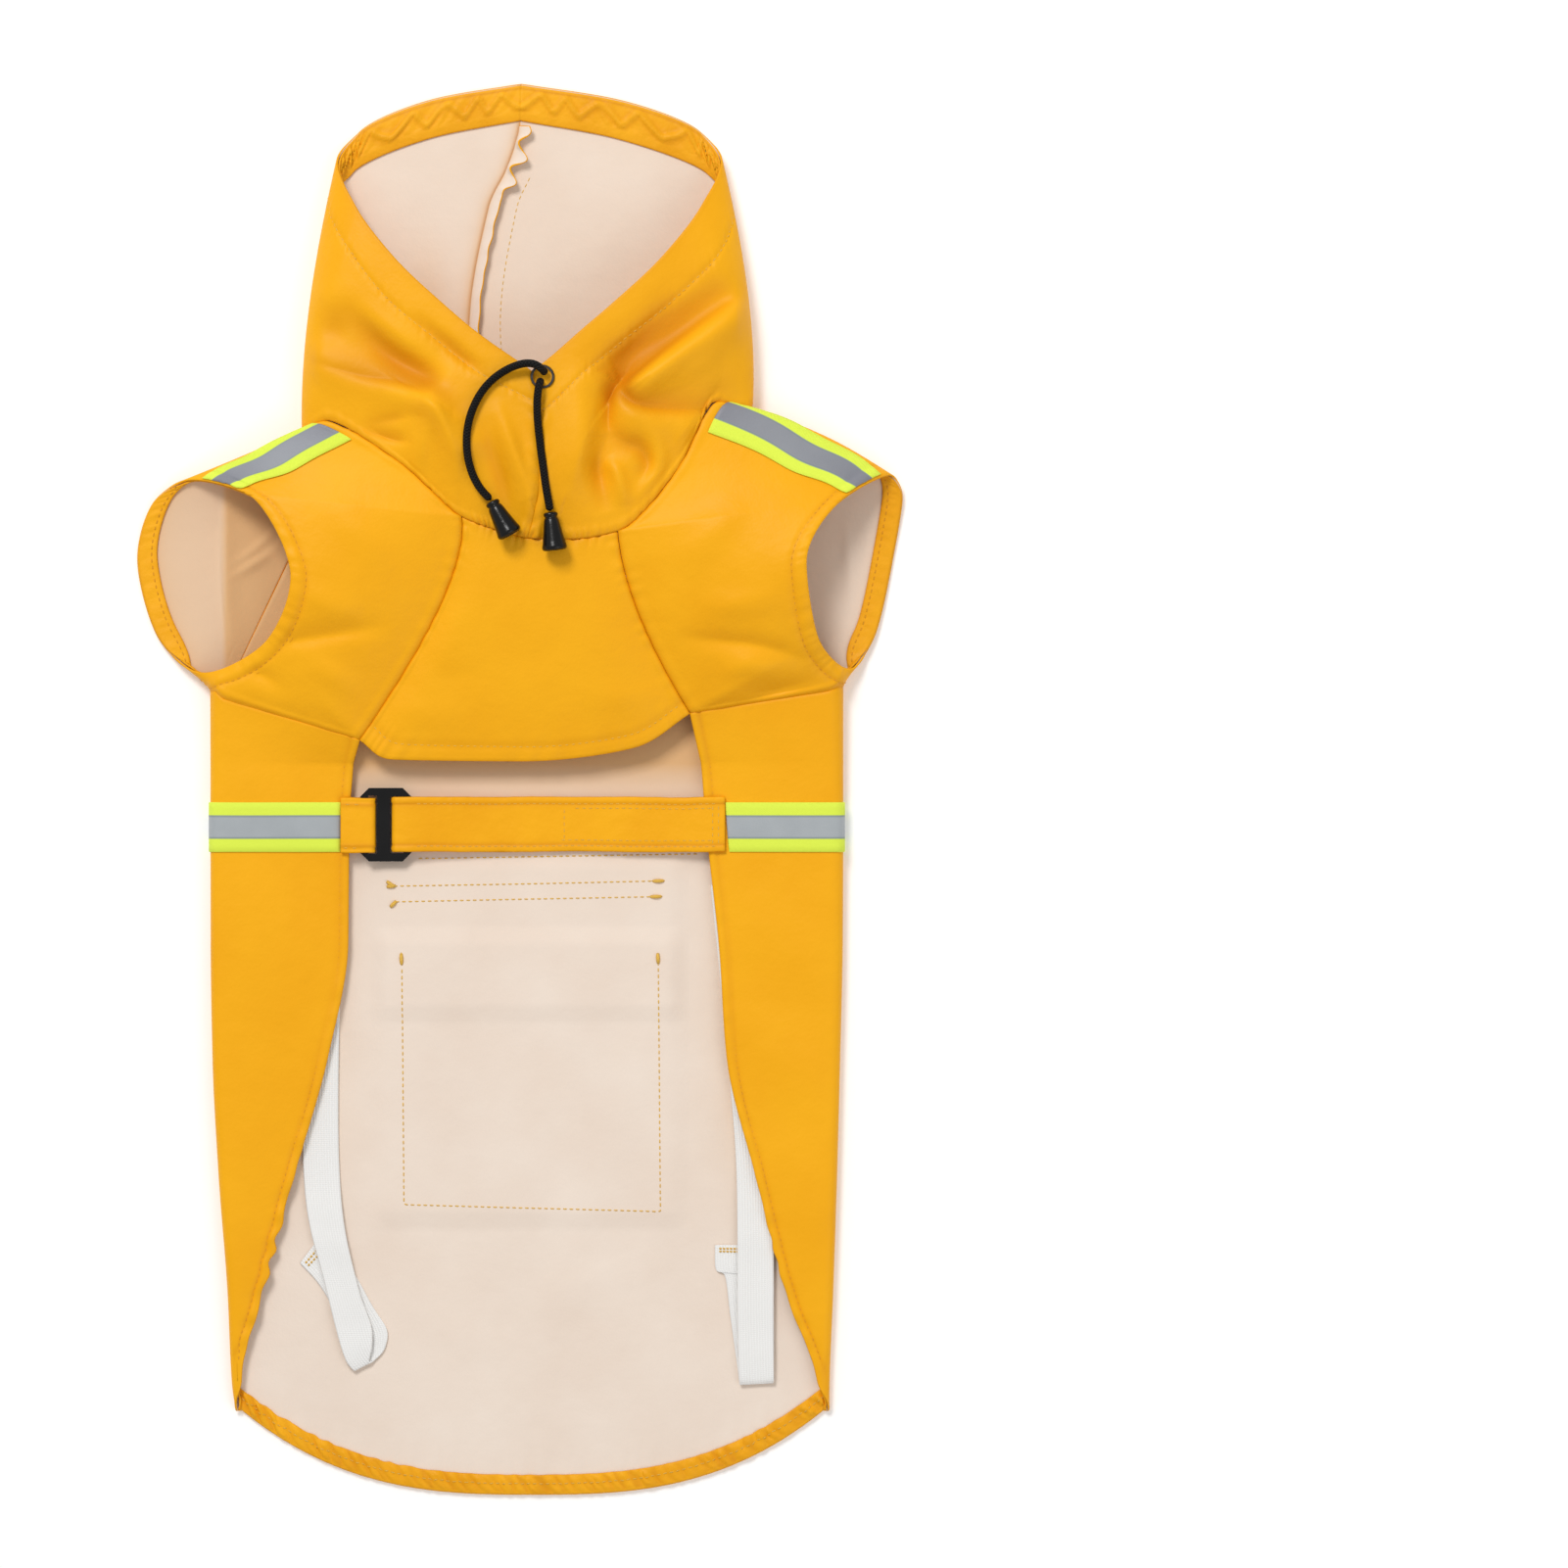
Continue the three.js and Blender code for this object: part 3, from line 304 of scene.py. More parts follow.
plastic_material = moulded_plastic_material()
CORD_END_AIM = {"curved": (9.6, -17.0, 0.3), "straight": (2.2, -18.4, -0.3)}
CORD_END_PROFILE = np.array([
    # radius, distance from the neck: a rolled lip, a groove, a flaring bell and its hollow mouth, in millimetres
    (0.02, 0.0), (2.3, 0.0), (2.9, 0.2), (3.2, 0.6), (3.3, 1.1), (3.2, 1.6), (2.9, 1.95), (2.75, 2.2), (2.85, 2.5),
    (3.15, 2.9), (3.4, 3.6), (3.7, 5.2), (4.1, 7.6), (4.55, 10.2), (5.0, 12.6), (5.3, 14.2), (5.6, 15.2),
    (5.7, 15.8), (5.65, 16.4), (5.3, 17.0), (4.7, 17.3), (4.2, 17.1), (3.8, 16.4), (3.2, 15.6), (2.0, 15.2),
    (0.02, 15.1),
])
for end, route in CORD_ROUTES.items():
    aim = np.array(CORD_END_AIM[end])
    start = np.array(route[-1]) + unit(aim) * 0.0006
    bell = turned(f"cord_end_{end}_bell", CORD_END_PROFILE * 0.001, start, aim, plastic_material)
    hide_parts(f"cord_end_{end}")
metal_material = black_metal_material()
for slot in bpy.data.objects["eyelet"].material_slots:
    slot.material = metal_material


# Floor and light
# A white sheet of paper under the coat, soft light from all round, one large lamp beyond the hood and a weak
# one at the lower right.
def floor():
    """A level square just below the coat, which glows a little so that it stays white."""
    size = 3.0
    corners = np.array([(-size, -size, 0), (size, -size, 0), (size, size, 0), (-size, size, 0)], float)
    mesh = bpy.data.meshes.new("floor")
    mesh.from_pydata((corners - [0, 0, 0.0004]).tolist(), [], [(0, 1, 2, 3)])
    sheet = bpy.data.objects.new("floor", mesh)
    material, _, shader = new_material("white_paper", (0.95, 0.95, 0.95), 0.9)
    shader.inputs["Emission Color"].default_value = (1.0, 1.0, 1.0, 1)
    shader.inputs["Emission Strength"].default_value = 0.14
    mesh.materials.append(material)
    bpy.context.scene.collection.objects.link(sheet)


def lamp(name, energy, size, place, target):
    """A square area lamp at a place, turned to face a target."""
    data = bpy.data.lights.new(name, "AREA")
    data.energy = energy
    data.size = size
    light = bpy.data.objects.new(name, data)
    light.location = place
    aim = np.array(target, float) - np.array(place, float)
    light.rotation_euler = Vector(aim).to_track_quat("-Z", "Y").to_euler()
    bpy.context.scene.collection.objects.link(light)


floor()
lamp("key", 66.0, 1.0, (-0.9, 2.0, 2.6), (0.0, -0.1, 0.0))
lamp("fill", 10.0, 1.6, (1.4, -1.0, 1.8), (0.0, 0.0, 0.0))
world = bpy.data.worlds.new("studio")
bpy.context.scene.world = world
world.use_nodes = True
world.node_tree.nodes["Background"].inputs["Color"].default_value = (1.0, 0.995, 0.985, 1)
world.node_tree.nodes["Background"].inputs["Strength"].default_value = 0.465
bpy.context.scene.view_settings.view_transform = "Standard"

# Hood
# Two halves of coated cloth, joined by a seam over the top of the head and down the front to the
# point of the face opening. Sizes in this section and the next ones are in millimetres.
MM = 0.001
CLOTH = 1.0
SIGN = {"left": -1, "right": 1}
HOOD_CENTRE_X = 4.7
# One line of the hood is this far from the next: along the neck seam, from the front seam, at the face opening.
NECK_STEP, FRONT_STEP, FACE_STEP = 40, 20, 24
HOOD_LINES = [
    # neck left, neck right, neck height, half way (out, y, z), face opening (out, y, z)
    ((4.7, 114.3), (4.7, 114.3), 27.0, (0, 152, 33.0), (0, 189.5, 32.0)),
    ((-10.4, 118.4), (24.3, 113.9), 27.0, (20, 158, 33.0), (19, 204, 32.0)),
    ((-25.2, 124.2), (45.5, 117.5), 26.0, (41, 168, 31.0), (39, 221, 30.0)),
    ((-52.2, 148.1), (71.6, 144.5), 24.0, (68, 190, 27.0), (61, 242, 26.5)),
    ((-86.9, 168.3), (90.0, 176.9), 19.0, (91, 214, 22.5), (79, 266, 19.5)),
    ((-98.6, 154.8), (104.6, 159.0), 9.5, (101, 215, 10.5), (88, 287, 9.5)),
    ((-94.0, 131.0), (104.0, 131.0), 0.6, (92, 205, 0.6), (78, 302, 1.2)),
    ((-59.0, 104.0), (69.3, 104.0), 0.6, (50, 200, 0.6), (43, 316.4, 1.8)),
    ((4.7, 87.8), (4.7, 87.8), 0.6, (0, 200, 0.6), (0, 323.6, 2.2)),
]
HOOD_FOLDS = [
    # from (x, y), to (x, y), width, height
    ((-90, 196), (-38, 178), 9, 3.2),
    ((-38, 178), (-24, 158), 8, 3.6),
    ((-84, 205), (-40, 192), 9, -2.4),
    ((104, 218), (52, 184), 9, 4.2),
    ((92, 224), (46, 192), 7, -3.4),
    ((38, 176), (42, 146), 8, -3.0),
    ((56, 170), (74, 166), 8, 2.4),
]
HOOD_CREASES = {
    # points (x, y, height) along each crease, the width to its left, the width to its right, its sharpness
    "left": [
        ([(-96, 196, -0.6), (-73, 189, -2.2), (-57, 186, -2.6), (-46, 182.5, -2.2), (-40, 178, -0.6)], 11, 3.6, 1.3),
        ([(-48, 181, 0.8), (-37, 173, 3.0), (-31.5, 162, 2.8), (-28, 149.5, 1.8), (-27, 138, 0.4)], 4.0, 10, 1.6),
        ([(-86, 223, 0), (-70, 211, -1.5), (-57, 198, -2.2), (-42, 188, -2.0), (-30, 174, -0.8)], 6, 6, 2.0),
        ([(-74, 222, 0), (-55, 206, 1.3), (-38, 193, 0.9), (-28, 184, 0)], 5, 5, 2.0),
        ([(-50, 217, 0), (-36, 206, -1.3), (-25, 196.5, -1.7), (-15, 190, -0.4)], 3.4, 3.4, 1.6),
        ([(-75, 164.5, 0), (-64, 161.6, -1.2), (-55, 159, -1.3), (-47, 158.4, 0)], 4.5, 1.8, 1.4),
        ([(-70, 166, 0), (-57, 168.5, -1.0), (-43, 171, 0)], 4.0, 2.2, 1.5),
        ([(-41, 169, 0), (-42.5, 157, 1.3), (-44.5, 142, 0.3)], 2.6, 6, 1.7),
        ([(-10, 178, 0), (-4.5, 163, 1.6), (0.5, 149, 1.9), (5.5, 134, 1.2)], 3.4, 6, 1.7),
        ([(-14, 170, 0), (-10, 152, -1.2), (-6, 138, -1.4), (-4, 124, 0)], 4, 4, 2.0),
        ([(-92, 226, 0), (-84, 212, -0.9), (-80, 204, 0)], 6, 6, 2.0),
        ([(-60, 150, 0), (-50, 141, 0.8), (-40, 134, 0)], 4, 4, 2.0),
    ],
    "right": [
        ([(102, 226, -0.3), (90.8, 218.5, -1.6), (74, 206, -3.0), (59, 194, -4.0), (49, 187, -4.2),
          (46.7, 184, -2.0)], 3.4, 11, 1.25),
        ([(100, 219, 0.4), (82, 205, 1.3), (66, 193, 2.0), (56, 185, 1.5), (50, 182, 0)], 7, 5, 2.0),
        ([(46.7, 184, -1.5), (49, 179, -3.4), (54, 175.6, -3.4), (62, 173.7, -2.8), (80, 173.3, -2.0),
          (98, 175, -0.8)], 8.5, 2.8, 1.25),
        ([(50, 190, -1.0), (43.6, 182, -3.6), (41.4, 173, -3.0), (41, 162, -0.6)], 3.2, 4.6, 1.4),
        ([(38, 190, 0), (34.5, 176, 1.9), (29, 154, 2.3), (23, 136, 0.8)], 6, 11, 1.8),
        ([(42, 164, -0.4), (49, 158, -1.7), (56, 155, -2.1), (59.5, 148, -2.0), (56, 141, -0.3)], 4.2, 4.2, 1.8),
        ([(40, 150, 0.4), (45, 145, 2.2), (47.5, 137, 1.6), (49, 129, 0.2)], 3.6, 4.2, 1.9),
        ([(38, 158, -0.6), (36.5, 145, -2.0), (39, 133, -1.0), (41, 126, 0)], 4.0, 4.5, 1.9),
        ([(60, 166, 0.3), (64.5, 152, 1.6), (60, 138, 1.2), (53, 128, 0)], 4, 4, 2.0),
        ([(73, 226, 0), (62, 213, -1.2), (50, 200, -1.4), (42, 192, 0)], 6, 5, 1.9),
        ([(96, 205, 0), (84, 193, 0.9), (70, 186, 0.3)], 5, 5, 2.0),
        ([(92, 168, 0), (80, 162, 0.8), (70, 152, 0)], 5, 5, 2.0),
    ],
}


def monotone(knots, values):
    """Cubic through values at knots. Its slope at a knot is the harmonic mean of the rises on either side,
    or 0 where they point opposite ways, so it never passes the values that it joins."""
    knots = np.asarray(knots, float)
    values = np.asarray(values, float)
    width = np.diff(knots).reshape(-1, *[1] * (values.ndim - 1))
    rise = np.diff(values, axis=0) / width
    product = rise[:-1] * rise[1:]
    total = np.where(product > 0, rise[:-1] + rise[1:], 1)
    slope = np.concatenate([rise[:1], np.where(product > 0, 2 * product / total, 0), rise[-1:]])

    def curve(x):
        """The cubic between the two knots round x, from its end values and its end slopes."""
        x = np.asarray(x, float)
        i = np.clip(np.searchsorted(knots, x, side="left") - 1, 0, len(knots) - 2)
        t = np.clip((x - knots[i]) / (knots[i + 1] - knots[i]), 0, 1)
        w = knots[i + 1] - knots[i]
        if values.ndim > 1:
            t, w = t[..., None], w[..., None]
        back = 1 - t
        return (values[i] * back * back * (1 + 2 * t) + values[i + 1] * t * t * (3 - 2 * t)
                + w * t * back * (slope[i] * back - slope[i + 1] * t))

    return curve


def blend_three(start, middle, end, t):
    """The parabola through three points, at t = 0, 0.5 and 1."""
    return start * (1 - t) * (1 - 2 * t) + middle * 4 * t * (1 - t) + end * t * (2 * t - 1)


def from_centre(side, point):
    """The point on one side that lies a distance out from the hood's centre line."""
    outwards, y, z = point
    return (HOOD_CENTRE_X + SIGN[side] * outwards, y, z)


hood_curves = {
    side: [monotone(range(len(HOOD_LINES)), points) for points in (
        [(*line[column], line[2]) for line in HOOD_LINES],
        [from_centre(side, line[3]) for line in HOOD_LINES],
        [from_centre(side, line[4]) for line in HOOD_LINES],
    )]
    for side, column in (("left", 0), ("right", 1))
}


def ramp(value, start, width):
    """0 up to the start, then rising evenly to 1 over the width, and 1 from there on."""
    return np.clip((value - start) / width, 0, 1)


def swell(distance, width, centre=0.0):
    """A soft ridge: e^-((distance - its centre) / its width)^2."""
    return np.exp(-(((distance - centre) / width) ** 2))


def falloff(distance, reach):
    """From 1 down towards 0 with distance: e^-(distance / reach)."""
    return np.exp(-distance / reach)


def crease_relief(x, y, creases):
    """Sum of creases. Each adds height x e^-(distance to its line / width)^sharpness, where height is blended
    along the line, and the width is that of the side on which the point lies."""
    relief = np.zeros_like(x)
    for points, to_left, to_right, sharpness in creases:
        line = through_points(points, 8 * len(points))
        start, step = line[:-1], np.diff(line, axis=0)
        dx, dy = x[..., None] - start[:, 0], y[..., None] - start[:, 1]
        share = np.clip((dx * step[:, 0] + dy * step[:, 1]) / (step[:, 0] ** 2 + step[:, 1] ** 2), 0, 1)
        away = np.hypot(dx - share * step[:, 0], dy - share * step[:, 1])
        nearest = np.argmin(away, -1)[..., None]
        pick = lambda values: np.take_along_axis(values, nearest, -1)[..., 0]
        distance, side = pick(away), pick(step[:, 0] * dy - step[:, 1] * dx)
        height = pick(start[:, 2] + share * step[:, 2])
        width = np.where(side > 0, to_left, to_right)
        relief += height * np.exp(-((distance / width) ** sharpness))
    return relief


def fold_relief(x, y, folds):
    """Sum of soft ridges: height x e^-(distance to the fold's line / width)^2, tapered towards its ends."""
    relief = np.zeros_like(x)
    for (x0, y0), (x1, y1), width, height in folds:
        dx, dy = x1 - x0, y1 - y0
        along = ((x - x0) * dx + (y - y0) * dy) / (dx * dx + dy * dy)
        nearest = np.clip(along, 0, 1)
        away = np.hypot(x - x0 - nearest * dx, y - y0 - nearest * dy)
        relief += height * swell(away, width)
    return relief


front_lean = monotone([0, 0.12, 0.35, 0.8, 1], [0, 2.5, 5.6, 5.8, 2.4])
back_lean = monotone([88, 150, 210, 267, 287, 305, 324], [0, -20, -27.7, -18.7, -9.5, -4.6, -4.0])


def hood_surface(side, t, s):
    """Point of the hood: t counts its lines from front centre to back centre, s runs from neck to face. Its
    front and back seams lean to one side, which moves the cloth beside them too."""
    t, s = np.broadcast_arrays(t, s)
    neck, middle, mouth = (curve(t) for curve in hood_curves[side])
    point = blend_three(neck, middle, mouth, s[..., None])
    on_front = ramp(point[..., 2], 12, 8)
    fade = np.minimum(np.minimum(1, 6 * s), 5 * (1 - s))
    point[..., 2] += on_front * fade * fold_relief(point[..., 0], point[..., 1], HOOD_FOLDS)
    at_front, at_back = np.clip(1 - t / 1.5, 0, 1), ramp(t, 5.8, 2.2)
    point[..., 0] += front_lean(s) * at_front**2 * (3 - 2 * at_front)
    point[..., 0] += back_lean(point[..., 1]) * at_back**2 * (3 - 2 * at_back)
    return point


def surface_normals(grid, ring=False):
    """Unit normal of each grid point: the cross product of the steps across its row and along its column."""
    if ring:
        across = np.roll(grid, -1, 1) - np.roll(grid, 1, 1)
    else:
        across = np.gradient(grid, axis=1)
    return unit(np.cross(across, np.gradient(grid, axis=0)))


def cut_lengths(grid, ring=False):
    """Distances in the flat cut: across from the first column, and along from the first row."""
    closed = np.concatenate([grid, grid[:, :1]], 1) if ring else grid
    across = np.linalg.norm(np.diff(closed, axis=1), axis=-1)
    along = np.linalg.norm(np.diff(closed, axis=0), axis=-1)
    across = np.concatenate([np.zeros((len(grid), 1)), np.cumsum(across, 1)], 1)
    along = np.concatenate([np.zeros((1, closed.shape[1])), np.cumsum(along, 0)], 0)
    return across, along


def boundary(rows, columns, ring):
    """Row and column numbers round a grid's edge, as closed loops."""
    if ring:
        j = np.arange(columns)
        return [(np.zeros(columns, int), j), (np.full(columns, rows - 1), j[::-1])]
    i, j = np.arange(rows), np.arange(columns)
    last_row, last_column = rows - 1, columns - 1
    loop_rows = np.concatenate([0 * j, i[1:], 0 * j[1:] + last_row, i[-2:0:-1]])
    loop_columns = np.concatenate([j, 0 * i[1:] + last_column, j[-2::-1], 0 * i[-2:0:-1]])
    return [(loop_rows, loop_columns)]


def cloth_wall(name, middle, thickness, materials, outside=1, ring=False, seam=None, inner_shade=None):
    """A closed wall: the grid moved half the thickness to either side along its normals, joined by a
    rounded edge. materials are those of the outside, the inside and the edge. outside is 1 where the outer
    side is that of the grid's normals, and -1 where it isn't."""
    rows, columns = middle.shape[:2]
    normals = surface_normals(middle, ring)
    sides = [middle + normals * thickness / 2, middle - normals * thickness / 2]
    size = rows * columns
    grid, grid_rows, grid_columns = grid_faces(rows, columns, ring)
    across, along = cut_lengths(middle, ring)
    flat = np.stack([across, along], -1)
    vertices = [sides[0].reshape(-1, 3), sides[1].reshape(-1, 3)]
    uv = flat[grid_rows, grid_columns]
    faces = [grid, (grid + size)[:, ::-1]]
    uvs = [uv, uv[:, ::-1]]
    slots = [0, 1] if outside == 1 else [1, 0]
    face_material = [np.full(len(grid), slots[0]), np.full(len(grid), slots[1])]
    start = 2 * size
    for i, j in boundary(rows, columns, ring):
        inner_i = np.clip(i, 1, rows - 2)
        inner_j = j if ring else np.clip(j, 1, columns - 2)
        edge = middle[i, j]
        outwards = unit(edge - middle[inner_i, inner_j])
        vertices.append(edge + outwards * thickness * 0.45)
        numbers = i * columns + j
        following = np.roll(numbers, -1)
        k = np.arange(len(i))
        rim = start + k
        rim_next = start + (k + 1) % len(i)
        faces.append(np.stack([following, numbers, rim, rim_next], -1))
        faces.append(np.stack([rim_next, rim, numbers + size, following + size], -1))
        edge_uv = flat[i, j]
        next_uv = np.roll(edge_uv, -1, 0)
        uvs += [np.stack([next_uv, edge_uv, edge_uv, next_uv], 1)] * 2
        face_material += [np.full(len(i), 2)] * 2
        start += len(i)
    points = np.concatenate(vertices)
    points[:, 2] = np.maximum(points[:, 2], 0)
    rim_count = len(points) - 2 * size
    shades = []
    # Painted shade: each rim takes half of the seam shade and none of the inner shade.
    for values, at_rim in ((seam, 0.5), (inner_shade, 0.0)):
        values = np.zeros(size) if values is None else values.reshape(-1)
        shades.append(np.concatenate([values, values, np.full(rim_count, at_rim)]))
    return make_piece(name, points * MM, np.concatenate(faces), np.concatenate(uvs) * MM, materials,
                      np.concatenate(face_material), *shades)


def lay(node):
    """Hides the solid part that a cloth piece was built in place of."""
    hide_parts(node)


def soft_mottle_group():
    """Soft unevenness of cloth: broad clouds for colour, and a fine and a middling relief for its surface."""
    group, ins, outs = new_group("soft mottle", ("Cloud size", "Crease size", "Grain size"), ("Cloud", "Height"))
    clouds, creases, grain = (
        object_noise(group, maths(group, "DIVIDE", 1.0, ins.outputs[socket]), detail, 0.55)
        for socket, detail in ((0, 3.0), (1, 3.0), (2, 2.0))
    )
    group.links.new(clouds, outs.inputs[0])
    group.links.new(maths(group, "ADD", creases, maths(group, "MULTIPLY", grain, 0.16)), outs.inputs[1])
    return group


soft_mottle = soft_mottle_group()


def point_value(tree, name):
    """A number that the mesh holds at each of its points."""
    return add_node(tree, "ShaderNodeAttribute", {"attribute_name": name}).outputs["Fac"]


def cloth_material(name, colour, shade, roughness, clouds, creases, grain, relief, shade_tone=(0.62, 0.2, 0.004),
                   seam_shade_share=0.35, inner_shade_share=0.0, sheen=0.0, coat=0.0):
    """Cloth whose colour drifts between two tones, is darkened towards its shade tone by painted shade along its
    seams, in its creases and inside the coat, and has a soft fine relief."""
    material, tree, shader = new_material(name, colour, roughness)
    mottle = add_node(tree, "ShaderNodeGroup", {"node_tree": soft_mottle}, _0=clouds, _1=creases, _2=grain)
    tone = blend(tree, remap(tree, mottle.outputs[0], 0.3, 0.7), shade, colour)
    # Painted shade: the share of the shade tone comes from the seam and inner_shade attributes.
    share = maths(tree, "ADD", maths(tree, "MULTIPLY", point_value(tree, "seam"), seam_shade_share),
                  maths(tree, "MULTIPLY", point_value(tree, "inner_shade"), inner_shade_share))
    dark = blend(tree, maths(tree, "MINIMUM", share, 0.9), tone, shade_tone)
    tree.links.new(dark, shader.inputs["Base Color"])
    rough = remap(tree, mottle.outputs[0], 0.3, 0.7, roughness - 0.05, roughness + 0.07)
    tree.links.new(rough, shader.inputs["Roughness"])
    add_bump(tree, shader, mottle.outputs[1], relief)
    shader.inputs["Specular IOR Level"].default_value = 0.17
    shader.inputs["Sheen Weight"].default_value = sheen
    shader.inputs["Coat Weight"].default_value = coat
    shader.inputs["Coat Roughness"].default_value = 0.35
    return material


# Painted shade: where the seam and inner_shade attributes are set, the yellow darkens to orange and the cream to a
# warm peach that stands in for shade and light bounced from the yellow.
coated_outside = cloth_material("yellow_coated_cloth", (0.965, 0.455, 0.006), (0.91, 0.405, 0.004), 0.48,
                                0.06, 0.011, 0.0011, 0.0005, coat=0.015)
coated_inside = cloth_material("cream_cloth_inside", (0.88, 0.755, 0.65), (0.84, 0.70, 0.59), 0.72,
                               0.05, 0.009, 0.0009, 0.0003, shade_tone=(0.74, 0.42, 0.17), seam_shade_share=0.55,
                               inner_shade_share=0.95, sheen=0.15)
coated = [coated_outside, coated_inside, coated_outside]


def thread_material(name, colour):
    """Twisted sewing thread: slanting ridges from the sum of both cut distances, and painted shade between them."""
    material, tree, shader = new_material(name, colour, 0.6)
    _, across, along = cut_map(tree)
    turn = maths(tree, "ADD", maths(tree, "MULTIPLY", across, 2 * np.pi / 0.0009),
                 maths(tree, "MULTIPLY", along, 2 * np.pi / 0.0006))
    twist = maths(tree, "SINE", turn)
    add_bump(tree, shader, twist, 0.00008)
    # Painted shade: the colour falls to 0.8 of itself in the troughs of the twist.
    tone = blend(tree, remap(tree, twist, -1.0, 1.0), 0.8 * np.array(colour), colour)
    tree.links.new(tone, shader.inputs["Base Color"])
    return material


yellow_thread = thread_material("yellow_thread", (1.0, 0.60, 0.09))
deep_thread = thread_material("deep_yellow_thread", (0.93, 0.42, 0.012))


def upright(surface, first, second, step=(1e-3, 1e-3)):
    """Points of a surface and its unit normals there, by the cross product of two small steps on it. The
    normals are turned to point up."""
    first, second = np.broadcast_arrays(np.asarray(first, float), np.asarray(second, float))
    points = surface(first, second)
    one = surface(first + step[0], second) - surface(first - step[0], second)
    other = surface(first, second + step[1]) - surface(first, second - step[1])
    normals = unit(np.cross(one, other))
    return points, normals * np.where(normals[..., 2:] < 0, -1, 1)


def on_face(points, normals):
    """A row on the cloth's face, from points at the middle of its thickness, and its normals."""
    return points + normals * CLOTH / 2, normals


def thread_rows(name, rows, material, pitch=3.0, length=2.1, width=0.42):
    """Rows of stitches. Each row is points on the cloth and normals. A stitch is a thin six-sided bar that
    follows the row for its length and arches out of the cloth: height = 0.55 x width x (1 - share^2) - 0.12."""
    stations = np.array([-1.0, -0.72, -0.25, 0.25, 0.72, 1.0])
    thickness = np.array([0.12, 0.8, 1.0, 1.0, 0.8, 0.12])
    angle = np.arange(6) * np.pi / 3
    vertices = []
    for points, normals in rows:
        run = run_length(points)
        count = max(int(run[-1] / pitch), 1)
        centres = (np.arange(count) + 0.5) * run[-1] / count
        at = centres[:, None] + stations * length / 2
        take = lambda values: np.stack([np.interp(at, run, values[:, k]) for k in range(3)], -1)
        line, up = take(points), unit(take(normals))
        side = unit(np.cross(np.gradient(line, axis=1), up))
        line = line + up * (0.55 * width * (1 - stations**2) - 0.12)[None, :, None]
        ring = (side[:, :, None] * np.cos(angle)[:, None] + up[:, :, None] * 0.8 * np.sin(angle)[:, None])
        vertices.append((line[:, :, None] + 0.5 * width * thickness[None, :, None, None] * ring).reshape(-1, 36, 3))
    vertices = np.concatenate(vertices)
    faces, face_rows, face_columns = grid_faces(6, 6, ring=True)
    numbers = (faces[None] + 36 * np.arange(len(vertices))[:, None, None]).reshape(-1, 4)
    uv = np.stack([face_columns * width * 0.52, face_rows * length / 5], -1)
    uv = np.broadcast_to(uv, (len(vertices), *uv.shape)).reshape(-1, 4, 2)
    piece = make_piece(name, vertices.reshape(-1, 3) * MM, numbers, uv * MM, [material])
    return piece


neck_shares = np.concatenate([np.linspace(0, 4, 96), np.linspace(4, 6, 46)[1:], np.linspace(6, 8, 40)[1:]])
face_shares = np.linspace(0.004, 1, 110)


def wander(distance, period, phase=0.0):
    """An uneven wave from -1 to 1: a sine whose pace and size drift with two slower sines."""
    turn = 2 * np.pi * distance / period + phase
    return np.sin(turn + 1.4 * np.sin(0.31 * turn + phase)) * (0.65 + 0.35 * np.sin(0.17 * turn + 2 * phase))


def hood_length(side, t):
    """Length of the hood's cloth from neck to face: the distance to its half way point, and on from there."""
    neck, half, mouth = (curve(t) for curve in hood_curves[side])
    return np.linalg.norm(half - neck, axis=-1) + np.linalg.norm(mouth - half, axis=-1)


def hood_middle(side, t, s):
    """The hood with its smaller creases, the groove of the casing's stitches, the puckers that these draw
    into the cloth, and the puckers along the neck seam."""
    t, s = np.broadcast_arrays(np.asarray(t, float), np.asarray(s, float))
    point = hood_surface(side, t, s)
    x, y = point[..., 0], point[..., 1]
    on_front = ramp(point[..., 2], 13, 6)
    fade = np.clip(np.minimum(9 * s, 9 * (1 - s)), 0, 1)
    relief = on_front * fade * CREASE_SHARE * crease_relief(x, y, HOOD_CREASES[side])
    length = hood_length(side, t)
    from_face, from_neck = (1 - s) * length, s * length
    along = NECK_STEP * t
    stitched = CASING_STITCH[side]
    relief += -0.55 * swell(from_face, 1.3, stitched)
    relief += 0.35 * wander(along, 5.2, 1.0) * swell(from_face, 3.5, stitched)
    gathered = (0.25 + 0.55 * on_front) * wander(along, 7.5)
    relief += gathered * swell(from_neck, 4.5) * np.clip(from_neck, 0, 1)
    relief += 0.6 * swell(from_neck, 2.4, 3.0) * on_front
    from_front_seam = FRONT_STEP * t
    relief += np.clip(2 - 2 * t, 0, 1) * (0.8 * swell(from_front_seam, 2.4, 3.2)
                                         + 0.4 * wander(from_face, 9.0, 2.0) * swell(from_front_seam, 5))
    point[..., 2] += relief * ramp(point[..., 2], 4, 8)
    return point


